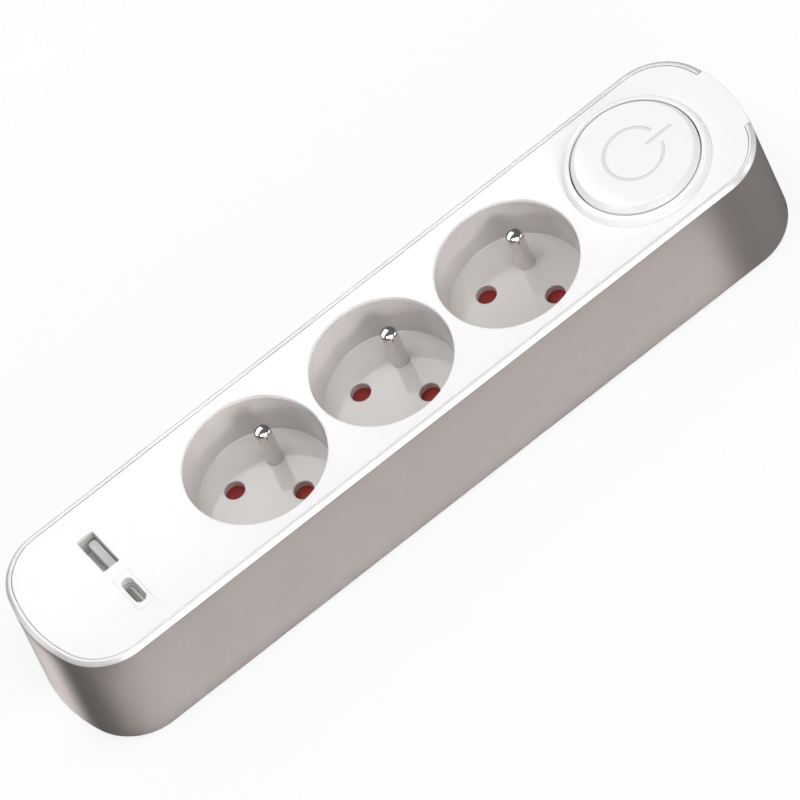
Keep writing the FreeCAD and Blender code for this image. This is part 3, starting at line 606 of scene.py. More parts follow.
FINISHES = {
    Slot.CASING: Finish((169, 161, 158), 0.38, grain_size=0.45 * MM, relief=0.004 * MM, mottle=0.02),
    Slot.RIM: Finish((249, 248, 248), 0.3, 0.3, relief=0.001 * MM),
    Slot.COVER: Finish((250, 248, 249), 0.3, relief=0.002 * MM, grain_size=0.8 * MM),
    Slot.BEZEL: Finish((250, 249, 249), 0.22, relief=0.002 * MM),
    Slot.BUTTON: Finish((250, 249, 249), 0.25, relief=0.002 * MM),
    Slot.SYMBOL: Finish((227, 225, 225), 0.3, relief=0.003 * MM),
    # The wells are the cover's white plastic; their colour is written darker than the cover's as painted
    # shade for the deep wells.
    Slot.WELL: Finish((209, 205, 202), 0.07, relief=0.001 * MM, specular=0.9, grain_size=1.0 * MM),
    Slot.SHUTTER: Finish((142, 40, 36), 0.32, relief=0.004 * MM, mottle=0.05),
    Slot.INSULATOR: Finish((212, 206, 194), 0.45, relief=0.006 * MM, mottle=0.04),
    Slot.PIN: Finish((224, 220, 218), 0.09, 1.0, Grain.DRAWN, 0.25 * MM, 0.0008 * MM,
                     roughness_play=0.03),
    Slot.BRASS: Finish((214, 178, 106), 0.28, 1.0, Grain.DRAWN, 0.2 * MM, 0.002 * MM, 0.06),
    Slot.LEAD_LIVE: Finish((112, 66, 42), 0.4, mottle=0.04),
    Slot.LEAD_NEUTRAL: Finish((48, 92, 158), 0.4, mottle=0.04),
    Slot.STEEL: Finish((196, 197, 200), 0.24, 1.0, Grain.DRAWN, 0.15 * MM, 0.002 * MM, 0.05),
    Slot.SHELL: Finish((230, 228, 226), 0.42, 0.3, Grain.DRAWN, 0.2 * MM, 0.0015 * MM, 0.04),
    Slot.TONGUE: Finish((202, 200, 198), 0.36, relief=0.003 * MM, mottle=0.03),
    Slot.TONGUE_DARK: Finish((128, 123, 121), 0.38, relief=0.003 * MM, mottle=0.05),
    Slot.SWITCH: Finish((34, 34, 36), 0.42, grain=Grain.MATT, mottle=0.06),
    Slot.BOARD: Finish((34, 92, 62), 0.36, grain=Grain.MATT, relief=0.01 * MM, mottle=0.1),
    Slot.WINDING: Finish((218, 188, 84), 0.4, grain=Grain.MATT, mottle=0.08),
    Slot.CAPACITOR: Finish((40, 42, 50), 0.34, grain=Grain.MATT, mottle=0.06),
    Slot.RUBBER: Finish((104, 102, 100), 0.72, grain=Grain.MATT, grain_size=0.3 * MM,
                        relief=0.014 * MM, mottle=0.06),
    Slot.CLAMP: Finish((58, 58, 60), 0.46, grain=Grain.MATT, mottle=0.05),
}


class Bench:
    """Turns solids into pieces of the model and keeps one material for each slot."""

    def __init__(self) -> None:
        """Make every finish once."""
        self.materials = {
            slot: finish.material("finish_" + slot.value) for slot, finish in FINISHES.items()}

    def lay(self, solid: Solid | bpy.types.Mesh, name: str, slot: Slot, *replaced: str,
            body: Body = Body.HOUSING) -> bpy.types.Object:
        """Finish a solid as a piece that rides on a body.

        Args:
            solid: The solid, or a mesh that was carved from one.
            name: Name of the piece.
            slot: The material slot it takes its finish from.
            *replaced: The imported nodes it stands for.
            body: The body it rides on.

        Returns:
            The piece.
        """
        data = solid.to_mesh(name) if isinstance(solid, Solid) else solid
        data.name = name
        data.shade_smooth()
        data.set_sharp_from_angle(angle=CREASE)
        data.materials.clear()
        data.materials.append(self.materials[slot])
        piece = put(name, data)
        even = piece.modifiers.new("even_shading", "WEIGHTED_NORMAL")
        even.keep_sharp = True
        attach(piece, body.value)
        if replaced:
            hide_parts(*replaced)
        LOG.info("%s: %d faces on %s", name, len(data.polygons), body.value)
        return piece

    def dress_nodes(self, nodes: dict[str, bpy.types.Object]) -> None:
        """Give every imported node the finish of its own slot.

        Args:
            nodes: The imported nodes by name.
        """
        for name, node in nodes.items():
            slot = Slot(node.data.materials[0].name.split(".")[0])
            for index in range(len(node.data.materials)):
                node.data.materials[index] = self.materials[slot]
            LOG.info("%s: kept, dressed as %s", name, slot.value)


# --- casing ---------------------------------------------------------------------------------


@dataclass(frozen=True)
class Casing:
    """The grey tub, the white rim on it and the cover plate."""

    bench: Bench
    outline: Outline
    top: float
    socket_xs: tuple[float, ...]
    button_x: float
    port_x: float
    port_ys: tuple[float, ...]
    feet: tuple[Point, ...]
    screws: tuple[Point, ...]
    bottom: float = 0.5 * MM
    floor: float = 2.7 * MM
    wall: float = 2.4 * MM
    lap: float = 0.9 * MM
    seam: float = 0.1 * MM
    groove: float = 0.2 * MM
    rim_height: float = 1.0 * MM
    rim_slope: float = 0.93 * MM
    rim_width: float = 1.75 * MM
    rim_hairline: float = 0.12 * MM
    hairline_depth: float = 0.4 * MM
    ledge: float = 3.4 * MM
    ledge_thickness: float = 2.4 * MM
    rim_foot_edge: float = 0.12 * MM
    rim_crest: float = 0.15 * MM
    rim_inner_edge: float = 0.1 * MM
    plate: float = 1.6 * MM
    plate_edge: float = 0.22 * MM
    plate_foot: float = 0.1 * MM
    tub_edge: float = 0.12 * MM
    foot_edge: float = 0.9 * MM
    foot_edge_steps: int = 6
    tab_low: float = -12.1 * MM
    tab_high: float = 10.4 * MM
    well_radius: float = 19.9 * MM
    well_lip: float = 0.5 * MM
    button_hole: float = 20.43 * MM
    button_hole_lip: float = 0.22 * MM / 3
    window_lip: float = 0.07 * MM
    boss_radius: float = 3.5 * MM
    boss_top: float = 16.0 * MM
    post_bore_depth: float = 12.0 * MM
    post_sides: int = 32
    screw_seat: float = 6.0 * MM
    screw_well: float = 3.1 * MM
    screw_hole: float = 1.7 * MM
    foot_seat: float = 5.0 * MM
    foot_depth: float = 1.0 * MM
    seat_lip: float = 0.25 * MM
    gland_z: float = 14.0 * MM
    cord_hole: float = 6.5 * MM
    cord_sides: int = 96

    @property
    def plate_under(self) -> float:
        """Underside of the cover plate."""
        return self.top - self.plate

    @property
    def ledge_under(self) -> float:
        """Underside of the ledge that carries the plate."""
        return self.plate_under - self.ledge_thickness

    def notch(self) -> Solid:
        """The block that opens the rim and the wall for the plate's tab.

        Returns:
            The block.
        """
        y = (self.tab_low + self.tab_high) / 2
        shape = block(self.outline.half_length, y, self.wall * 4, self.tab_high - self.tab_low, 0)
        return Solid().cutter(shape, self.plate_under, self.top + self.wall)

    def cord_opening(self) -> Solid:
        """The round hole in the end wall for the cord's gland.

        Returns:
            The rod that cuts it.
        """
        shape = circle(0, 0, self.cord_hole, self.cord_sides)
        cutter = Solid().cutter(shape, -self.wall * 4, self.wall * 2)
        place = Matrix.Translation((self.outline.half_length, 0, self.gland_z))
        cutter.turn_by(place @ Matrix.Rotation(math.pi / 2, 4, "Y"))
        return cutter

    def build_tub(self) -> None:
        """The grey tub with its foot seats, screw wells and bosses."""
        tub = Solid()
        wall_top = self.top - self.rim_height
        edge, count = self.foot_edge, self.foot_edge_steps
        angles = [math.pi / 2 * step / count for step in range(count, -1, -1)]
        outer = [(-edge * (1 - math.cos(a)), self.bottom + edge - edge * math.sin(a)) for a in angles]
        levels = outer + [
            (0, wall_top - self.tub_edge), (-self.tub_edge, wall_top), (-self.lap, wall_top),
            (-self.lap, self.ledge_under), (-self.wall, self.ledge_under), (-self.wall, self.floor)]
        under, inside = tub.stack(self.outline.loop, levels)
        under_rings, inside_rings = [under], [inside]
        brim = [(grow, 2 * self.bottom - z) for grow, z in lip(self.seat_lip, self.bottom)]
        for x, y in self.feet:
            levels = brim + [(0, self.bottom + self.foot_depth)]
            mouth, deep = tub.stack(circle(x, y, self.foot_seat), levels)
            tub.cap(deep)
            under_rings.append(mouth)
        bore, boss = self.screw_hole - self.screw_well, self.boss_radius - self.screw_well
        levels = brim + [(0, self.screw_seat), (bore, self.screw_seat), (bore, self.boss_top),
                         (boss, self.boss_top), (boss, self.floor)]
        for x, y in self.screws:
            mouth, root = tub.stack(circle(x, y, self.screw_well), levels)
            under_rings.append(mouth)
            inside_rings.append(root)
        tub.cap(*under_rings)
        tub.cap(*inside_rings)
        mesh = carve(tub.to_mesh("tub"), [self.notch(), self.cord_opening()])
        self.bench.lay(mesh, "casing_tub", Slot.CASING, "base_housing")

    def build_rim(self) -> None:
        """The white rim: a sloped edge, a hairline groove, a narrow land and the plate's ledge."""
        rim = Solid()
        wall_top, hair_low = self.top - self.rim_height, self.top - self.hairline_depth
        hair_out = -self.rim_slope - self.rim_hairline
        hair_in = -self.rim_slope - 2 * self.rim_hairline
        section = rounded([
            (0, wall_top, 0), (0, self.top - self.rim_slope, self.rim_foot_edge),
            (-self.rim_slope, self.top, self.rim_crest),
            (hair_out, self.top, 0), (hair_out, hair_low, 0), (hair_in, hair_low, 0), (hair_in, self.top, 0),
            (-self.rim_width, self.top, self.rim_inner_edge), (-self.rim_width, self.plate_under, 0),
            (-self.ledge, self.plate_under, 0), (-self.ledge, self.ledge_under, 0),
            (-self.lap - self.seam, self.ledge_under, 0), (-self.lap - self.seam, wall_top, 0)])
        rim.stack(self.outline.loop, section, closed=True)
        mesh = carve(rim.to_mesh("rim"), [self.notch()])
        self.bench.lay(mesh, "casing_rim", Slot.RIM, "rim_frame")

    def cover_outline(self, grow: float) -> list[Point]:
        """The plate's outline with its tab.

        Args:
            grow: How much it is grown all round.

        Returns:
            The points.
        """
        low, high = self.tab_low + self.groove - grow, self.tab_high - self.groove + grow
        points = self.outline.round_trip(self.rim_width + self.groove - grow, high, low)
        return points + self.outline.bow(self.seam - grow, low, high, self.outline.bow_steps * 2)

    def build_cover(self) -> None:
        """The cover plate with its round holes, port windows and screw posts."""
        cover = Solid()
        foot = self.plate_foot
        shoulder = lip(self.plate_edge, self.top, outward=False)
        top_ring, side = cover.stack(self.cover_outline, shoulder + [(0, self.plate_under)])
        tops, unders = [top_ring], [side]
        holes = [(circle(x, 0, self.well_radius, LARGE_SIDES), self.well_lip) for x in self.socket_xs]
        holes.append((circle(self.button_x, 0, self.button_hole, LARGE_SIDES), self.button_hole_lip))
        holes += [(block(self.port_x, y, WINDOW_LENGTH, WINDOW_WIDTH, WINDOW_ROUNDING), self.window_lip)
                  for y in self.port_ys]
        for contour, radius in holes:
            levels = lip(radius, self.top) + [(0, self.plate_under + foot), (foot, self.plate_under)]
            mouth, root = cover.stack(contour, levels)
            tops.append(mouth)
            unders.append(root)
        bore = self.screw_hole - self.boss_radius
        levels = [(0, self.plate_under), (0, self.boss_top), (bore, self.boss_top),
                  (bore, self.boss_top + self.post_bore_depth)]
        for x, y in self.screws:
            root, deep = cover.stack(circle(x, y, self.boss_radius, self.post_sides), levels)
            cover.cap(deep)
            unders.append(root)
        cover.cap(*tops)
        cover.cap(*unders)
        self.bench.lay(cover, "cover_plate", Slot.COVER, "top_cover")

    def build(self) -> None:
        """Build the tub, the rim and the cover plate."""
        self.build_tub()
        self.build_rim()
        self.build_cover()


@dataclass(frozen=True)
class Underside:
    """The rubber feet and the heads of the screws that close the casing."""

    bench: Bench
    feet: tuple[Point, ...]
    screws: tuple[Point, ...]
    foot_radius: float = 4.9 * MM
    foot_top: float = 1.5 * MM
    foot_edge: float = 0.25 * MM
    foot_dish: float = 3.6 * MM
    dish_edge: float = 0.1 * MM
    dish_depth: float = 0.2 * MM
    head_radius: float = 2.8 * MM
    head_low: float = 3.8 * MM
    head_top: float = 6.0 * MM
    head_sides: int = 40
    head_dome: tuple[Point, ...] = (
        (-0.35 * MM, 0), (-0.15 * MM, 0.08 * MM), (-0.03 * MM, 0.25 * MM), (0, 0.5 * MM))
    shank_radius: float = 1.5 * MM
    shank_top: float = 27.0 * MM
    cross_reach: float = 1.5 * MM
    cross_half_width: float = 0.32 * MM
    cross_depth: float = 1.3 * MM
    cross_taper: float = 0.15
    cross_steps: tuple[Point, ...] = ((0, 0), (-0.3 * MM, 0.6), (-0.9 * MM, 1))

    def cross(self, x: float, y: float) -> Contour:
        """The drive recess's cross shape, which narrows as it shrinks.

        Args:
            x: Centre along the length.
            y: Centre across the width.

        Returns:
            A function from the growth to the points.
        """
        def grown(grow: float) -> list[Point]:
            """The corners of the cross.

            Args:
                grow: How much it is grown all round.

            Returns:
                The twelve points.
            """
            reach, half = self.cross_reach + grow, self.cross_half_width + grow * self.cross_taper
            arm = [(reach, -half), (reach, half), (half, half)]
            turns = [(1, 0), (0, 1), (-1, 0), (0, -1)]
            return [(x + px * c - py * s, y + px * s + py * c) for c, s in turns for px, py in arm]
        return grown

    def build_feet(self) -> None:
        """Four round rubber feet with a shallow dish in each."""
        feet = Solid()
        for x, y in self.feet:
            feet.turned(x, y, [
                (0, self.foot_top, 0), (self.foot_radius, self.foot_top, 0),
                (self.foot_radius, 0, self.foot_edge), (self.foot_dish, 0, self.dish_edge),
                (self.foot_dish - self.dish_depth, self.dish_depth, 0), (0, self.dish_depth, 0)])
        self.bench.lay(feet, "feet", Slot.RUBBER, "rubber_feet")

    def build_screws(self) -> None:
        """Eight screws with domed heads and a cross drive."""
        screws = Solid()
        shank = self.shank_radius - self.head_radius
        levels = [(grow, self.head_low + rise) for grow, rise in self.head_dome]
        levels += [(0, self.head_top), (shank, self.head_top), (shank, self.shank_top)]
        recess = [(grow, self.head_low + self.cross_depth * share) for grow, share in self.cross_steps]
        for x, y in self.screws:
            face, tip = screws.stack(circle(x, y, self.head_radius, self.head_sides), levels)
            screws.cap(tip)
            mouth, deep = screws.stack(self.cross(x, y), recess)
            screws.cap(deep)
            screws.cap(face, mouth)
        self.bench.lay(screws, "closing_screws", Slot.STEEL, "case_screws")

    def build(self) -> None:
        """Build the feet and the screws."""
        self.build_feet()
        self.build_screws()


# --- sockets --------------------------------------------------------------------------------


@dataclass(frozen=True)
class Socket:
    """One round well with its two contact holes and its earth pin."""

    bench: Bench
    number: int
    x: float
    brim: float
    under: float
    pin_box: tuple[Vector, Vector]
    deck: float = 2.5 * MM
    radius: float = 19.9 * MM
    wall: float = 1.1 * MM
    draft: float = 0.9 * MM
    floor_rounding: float = 0.3 * MM
    contact_radius: float = 2.8 * MM
    contact_spacing: float = 19.0 * MM
    hole_lip: float = 0.3 * MM
    hole_sides: int = 48
    brim_edge: float = 0.12 * MM
    earth_offset: float = 10.0 * MM
    pin_radius: float = 2.4 * MM
    pin_hole: float = 2.42 * MM
    pin_lip: float = 0.04 * MM
    pin_collar: float = 3.5 * MM
    pin_tail: float = 2.0 * MM
    tail_edge: float = 0.2 * MM
    collar_edge: float = 0.1 * MM
    collar_low: float = 17.1 * MM
    crown_radius: float = 5.5 * MM
    crown_reach: float = 1.5 * MM
    crown_edge: float = 0.8 * MM
    crown_steps: int = 6

    @property
    def floor(self) -> float:
        """Height of the well's floor."""
        return self.under + self.deck

    @property
    def diagonal(self) -> float:
        """Cosine of the angle by which the socket is turned."""
        return math.sqrt(0.5)

    def build_cup(self) -> None:
        """The well: a glossy wall that narrows downwards, a flat floor and three holes."""
        cup = Solid()
        low_radius = self.radius - self.draft
        outer = self.radius + self.wall
        profile = rounded([
            (outer, self.under, 0), (outer, self.brim, 0), (self.radius, self.brim, self.brim_edge),
            (low_radius, self.floor, self.floor_rounding), (self.radius / 2, self.floor, 0)])[:-1]
        under, inside = cup.stack(circle(self.x, 0, 0, LARGE_SIDES), profile)
        contact = self.contact_spacing / 2 * self.diagonal
        earth = self.earth_offset * self.diagonal
        spots = [(contact, -contact, self.contact_radius, self.hole_lip),
                 (-contact, contact, self.contact_radius, self.hole_lip),
                 (earth, earth, self.pin_hole, self.pin_lip)]
        floors, unders = [inside], [under]
        for dx, dy, radius, edge in spots:
            levels = lip(edge, self.floor) + [(0, self.under)]
            mouth, root = cup.stack(circle(self.x + dx, dy, radius, self.hole_sides), levels)
            floors.append(mouth)
            unders.append(root)
        cup.cap(*floors)
        cup.cap(*unders)
        self.bench.lay(cup, f"socket_{self.number}_well", Slot.WELL, f"socket_cup_{self.number}")

    def build_pin(self) -> None:
        """The turned earth pin: tail, collar, shank and crowned tip."""
        pin = Solid()
        low, high = self.pin_box
        x, y = (low.x + high.x) / 2, (low.y + high.y) / 2
        count = self.crown_steps
        crown = [self.crown_reach * (1 - step / count) for step in range(count + 1)]
        tip = [(r, high.z - r * r / (2 * self.crown_radius), 0) for r in crown]
        edge = high.z - self.pin_radius ** 2 / (2 * self.crown_radius)
        pin.turned(x, y, [
            (0, low.z, 0), (self.pin_tail, low.z, self.tail_edge), (self.pin_tail, self.collar_low, 0),
            (self.pin_collar, self.collar_low, self.collar_edge),
            (self.pin_collar, self.under, self.collar_edge), (self.pin_radius, self.under, 0),
            (self.pin_radius, edge, self.crown_edge), *tip])
        self.bench.lay(pin, f"socket_{self.number}_earth_pin", Slot.PIN, f"earth_pin_{self.number}")

    def build(self) -> None:
        """Build the well and the pin."""
        self.build_cup()
        self.build_pin()


# --- switch ---------------------------------------------------------------------------------


@dataclass(frozen=True)
class PushSwitch:
    """The large round button with its standby sign, and the collar round it."""

    bench: Bench
    x: float
    button_top: float
    plate_top: float
    plate_under: float
    radius: float = 17.6 * MM
    face_radius: float = 16.2 * MM
    face_drop: float = 1.9 * MM
    face_edge: float = 0.7 * MM
    shoulder_edge: float = 0.35 * MM
    hub_edge: float = 0.2 * MM
    gap: float = 0.42 * MM
    skirt: float = 1.6 * MM
    skin: float = 2.0 * MM
    flange: float = 1.0 * MM
    flange_top: float = 33.2 * MM
    hub_radius: float = 7.0 * MM
    hub_length: float = 6.5 * MM
    collar_rise: float = 2.1 * MM
    collar_land: float = 0.5 * MM
    collar_radius: float = 20.4 * MM
    collar_flange: float = 0.9 * MM
    collar_skirt_share: float = 1.5
    bore_edge: float = 0.12 * MM
    land_edge: float = 0.15 * MM
    slope_steps: int = 12
    slope_power: float = 2.6
    travel: float = 2.0 * MM
    sign_radius: float = 8.6 * MM
    sign_stroke: float = 0.9 * MM
    sign_depth: float = 0.8 * MM
    sign_drop: float = 0.12 * MM
    sign_slack: float = 0.03 * MM
    sign_lip: float = 0.06 * MM
    sign_edge: float = 0.1 * MM
    sign_half_gap: float = math.radians(18)
    sign_steps: int = 72
    bar_start: float = 4.1 * MM
    bar_length: float = 8.4 * MM
    bar_rounding: float = 0.15 * MM
    spring_wire: float = 0.4 * MM
    spring_turns: int = 5
    spring_slack: float = 0.05 * MM

    def ring_sign(self, grow: float) -> list[Point]:
        """The sign's open ring.

        Args:
            grow: How much it is grown all round.

        Returns:
            The points, out along the outer arc and back along the inner one.
        """
        outer, inner = self.sign_radius + grow, self.sign_radius - self.sign_stroke - grow
        opening = self.sign_half_gap - grow / self.sign_radius
        out = arc((self.x, 0), outer, opening, math.tau - opening, self.sign_steps)
        out.append((self.x + outer * math.cos(opening), -outer * math.sin(opening)))
        back = arc((self.x, 0), inner, math.tau - opening, opening, self.sign_steps)
        back.append((self.x + inner * math.cos(opening), inner * math.sin(opening)))
        return out + back

    def sign_parts(self, slack: float = 0.0) -> tuple[Contour, Contour]:
        """The sign's open ring and its bar.

        Args:
            slack: How much both are drawn in all round.

        Returns:
            A function from the growth to the points, for each.
        """
        bar = block(self.x + self.bar_start + self.bar_length / 2, 0, self.bar_length,
                    self.sign_stroke, self.bar_rounding)
        return lambda grow: self.ring_sign(grow - slack), lambda grow: bar(grow - slack)

    def build_button(self) -> None:
        """The cap: a flat face with the sunk sign, a sloped edge, a skirt, a flange and a hub."""
        cap = Solid()
        shoulder = self.button_top - self.face_drop
        inside = self.radius - self.skirt
        ceiling = self.button_top - self.skin
        hub_under = ceiling - self.hub_length
        flange_low = self.flange_top - self.skirt
        profile = rounded([
            (0, self.button_top, 0), (self.face_radius, self.button_top, self.face_edge),
            (self.radius, shoulder, self.shoulder_edge), (self.radius, self.flange_top, 0),
            (self.radius + self.flange, self.flange_top, 0), (self.radius + self.flange, flange_low, 0),
            (inside, flange_low, 0), (inside, ceiling, 0), (self.hub_radius, ceiling, 0),
            (self.hub_radius, hub_under, self.hub_edge), (0, hub_under, 0)])[1:]
        face, _ = cap.stack(circle(self.x, 0, 0, LARGE_SIDES), profile)
        rings = [face]
        levels = lip(self.sign_lip, self.button_top) + [(0, self.button_top - self.sign_depth)]
        for contour in self.sign_parts():
            mouth, deep = cap.stack(contour, levels)
            cap.cap(deep)
            rings.append(mouth)
        cap.cap(*rings)
        self.bench.lay(cap, "push_button", Slot.BUTTON, "power_button", body=Body.BUTTON)

    def build_sign(self) -> None:
        """The sign's grey inlay, a little below the face."""
        sign = Solid()
        low, high = self.button_top - self.sign_depth, self.button_top - self.sign_drop
        for contour in self.sign_parts(self.sign_slack):
            sign.prism(contour, low, high, self.sign_edge)
        self.bench.lay(sign, "standby_sign", Slot.SYMBOL, "power_symbol", body=Body.BUTTON)

    def build_collar(self) -> None:
        """The collar: a narrow land at the button, then a slope that steepens down to the plate."""
        collar = Solid()
        bore = self.radius + self.gap
        land = bore + self.collar_land
        high = self.plate_top + self.collar_rise
        slope = []
        for step in range(1, self.slope_steps):
            share = step / self.slope_steps
            fall = self.collar_rise * share ** self.slope_power
            slope.append((land + (self.collar_radius - land) * share, high - fall, 0))
        low_bore = self.radius + self.flange + self.gap
        skirt = low_bore + self.skirt / self.collar_skirt_share
        flange = self.collar_radius + self.collar_flange
        seat = self.plate_under - SEAT_GAP
        seat_low = self.plate_under - self.skirt
        foot = self.flange_top - self.travel * 2
        collar.turned(self.x, 0, [
            (bore, high, self.bore_edge), (land, high, self.land_edge), *slope,
            (self.collar_radius, self.plate_top, 0), (self.collar_radius, seat, 0), (flange, seat, 0),
            (flange, seat_low, 0), (skirt, seat_low, 0), (skirt, foot, 0), (low_bore, foot, 0),
            (low_bore, self.flange_top + self.gap, 0), (bore, self.flange_top + self.gap, 0)], LARGE_SIDES)
        self.bench.lay(collar, "button_collar", Slot.BEZEL, "button_bezel")

    def build_spring(self) -> None:
        """The return spring under the hub."""
        low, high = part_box("button_spring")
        head = high.z - self.spring_slack
        spring = Solid()
        spring.coil(self.x, high.x - self.x - self.spring_wire, self.spring_wire,
                    low.z + self.spring_wire, head - self.spring_wire, self.spring_turns)
        piece = self.bench.lay(spring, "return_spring", Slot.STEEL, "button_spring")
        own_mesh(piece)

    def build(self) -> None:
        """Build the button, its sign, the collar and the return spring."""
        self.build_button()
        self.build_sign()
        self.build_collar()
        self.build_spring()


# --- charging ports -------------------------------------------------------------------------


@dataclass(frozen=True)
class ChargingPorts:
    """The wide and the slim charging port."""

    bench: Bench
    x: float
    wide_y: float
    slim_y: float
    top: float
    board_top: float
    plate_under: float
    sheet: float = 0.3 * MM
    brim_inner_drop: float = 0.15 * MM
    brim_outer_drop: float = 0.1 * MM
    brim_flat: tuple[float, float] = (0.3, 0.8)
    fill_gap: float = 0.2 * MM
    wide_length: float = 5.12 * MM
    wide_width: float = 12.5 * MM
    wide_rounding: float = 0.5 * MM
    wide_drop: float = 0.3 * MM
    block_height: float = 14.5 * MM
    block_rounding: float = 0.4 * MM
    block_edge: float = 0.2 * MM
    blade_thickness: float = 2.7 * MM
    blade_offset: float = 0.95 * MM
    blade_width: float = 11.2 * MM
    blade_rounding: float = 1.1 * MM
    blade_edge: float = 0.45 * MM
    contact: Point = (0.16 * MM, 1.1 * MM)
    contact_rounding: float = 0.05 * MM
    contact_edge: float = 0.06 * MM
    contact_pitch: float = 2.3 * MM
    contact_drop: float = 4.0 * MM
    leaf_spacing: float = 3.0 * MM
    leaf_drop: float = 1.0 * MM
    leaf_half_width: float = 1.1 * MM
    leaf_length: float = 7.0 * MM
    leaf_bulge: float = 0.75 * MM
    leaf_power: float = 1.4
    leaf_thickness: float = 0.2 * MM
    leaf_steps: int = 12
    slim_length: float = 3.26 * MM
    slim_width: float = 8.94 * MM
    slim_mouth: float = 0.16 * MM
    slim_lip: float = 0.2 * MM
    slim_seat_drop: float = 1.1 * MM
    slim_seat_edge: float = 0.15 * MM
    end_slack: float = 0.01 * MM
    insert_depth: float = 2.6 * MM
    insert_slack: float = 0.1 * MM
    insert_lip: float = 0.05 * MM
    insert_flange: float = 0.6 * MM
    lamella_thickness: float = 1.3 * MM
    lamella_offset: float = -0.4 * MM
    lamella_width: float = 6.7 * MM
    lamella_drop: float = 0.3 * MM
    pad: Point = (0.08 * MM, 0.25 * MM)
    pad_rounding: float = 0.02 * MM
    pad_pitch: float = 0.5 * MM
    pad_count: int = 12
    pad_drop: float = 0.6 * MM

    def can(self, shape: Contour, high: float) -> Solid:
        """A drawn metal can, open at the top, with a rounded brim.

        Args:
            shape: The can's inner outline.
            high: Height of the brim.

        Returns:
            The can.
        """
        can = Solid()
        inside, outside = can.stack(shape, [
            (0, self.board_top + self.sheet), (0, high - self.brim_inner_drop),
            *((self.sheet * share, high) for share in self.brim_flat),
            (self.sheet, high - self.brim_outer_drop), (self.sheet, self.board_top)])
        can.cap(inside)
        can.cap(outside)
        return can

    def build_wide(self) -> None:
        """The wide port: can, two spring leaves, blade and its four contacts."""
        high = self.plate_under - self.wide_drop
        base = self.board_top + self.sheet
        length, width = self.wide_length, self.wide_width
        can = self.can(block(self.x, self.wide_y, length, width, self.wide_rounding), high)
        self.bench.lay(can, "wide_port_can", Slot.SHELL, "usb_a_shell")
        tongue = Solid()
        tongue.prism(block(self.x, self.wide_y, length - self.fill_gap, width - self.fill_gap,
                           self.block_rounding), base, base + self.block_height, self.block_edge)
        blade_x = self.x + self.blade_offset
        tongue.prism(block(blade_x, self.wide_y, self.blade_thickness, self.blade_width,
                           self.blade_rounding), base, high - self.sheet, self.blade_edge)
        self.bench.lay(tongue, "wide_port_blade", Slot.TONGUE, "usb_a_tongue")
        contacts = Solid()
        face_x = blade_x - self.blade_thickness / 2
        for step in (-1.5, -0.5, 0.5, 1.5):
            shape = block(face_x, self.wide_y + step * self.contact_pitch, *self.contact,
                          self.contact_rounding)
            contacts.prism(shape, base + self.block_height, high - self.contact_drop, self.contact_edge)
        self.bench.lay(contacts, "wide_port_contacts", Slot.STEEL)
        leaves = Solid()
        for side in (-1, 1):
            self.leaf(leaves, self.x - length / 2, self.wide_y + side * self.leaf_spacing,
                      high - self.leaf_drop)
        self.bench.lay(leaves, "wide_port_springs", Slot.SHELL)

    def leaf(self, solid: Solid, x: float, y: float, high: float) -> None:
        """One spring leaf bent out of the can's wall into its mouth.

        Args:
            solid: What it is added to.
            x: The wall's inner face.
            y: Middle of the leaf.
            high: Top of the leaf.
        """
        low_y, high_y = y - self.leaf_half_width, y + self.leaf_half_width
        rows = []
        for step in range(self.leaf_steps + 1):
            share = step / self.leaf_steps
            near = x + self.leaf_bulge * math.sin(math.pi * share) ** self.leaf_power
            far = near + self.leaf_thickness
            corners = ((near, low_y), (near, high_y), (far, high_y), (far, low_y))
            rows.append(solid.ring(corners, high - self.leaf_length * share))
        for first, second in zip(rows, rows[1:]):
            solid.bridge(first, second)
        solid.cap(rows[0])
        solid.cap(rows[-1])

    def slim_shape(self, extra: float) -> Contour:
        """The slim port's outline with half-round ends, wider by extra in all."""
        length, width = self.slim_length + extra, self.slim_width + extra
        return block(self.x, self.slim_y, length, width, length / 2 - self.end_slack)

    def build_insert(self, under: float) -> None:
        """The flush insert round the slim port.

        Args:
            under: Height of its underside.
        """
        insert = Solid()
        seat, flange = self.plate_under - SEAT_GAP, self.insert_flange
        face = block(self.x, self.slim_y, WINDOW_LENGTH - self.insert_slack,
                     WINDOW_WIDTH - self.insert_slack, WINDOW_ROUNDING)
        edge = lip(self.insert_lip, self.top, outward=False)
        top_ring, foot = insert.stack(face, edge + [(0, seat), (flange, seat), (flange, under)])
        brim = lip(self.slim_lip, self.top)
        mouth, root = insert.stack(self.slim_shape(self.slim_mouth), brim + [(0, under)])
        insert.cap(top_ring, mouth)
        insert.cap(foot, root)
        self.bench.lay(insert, "slim_port_insert", Slot.COVER, "usb_c_insert")

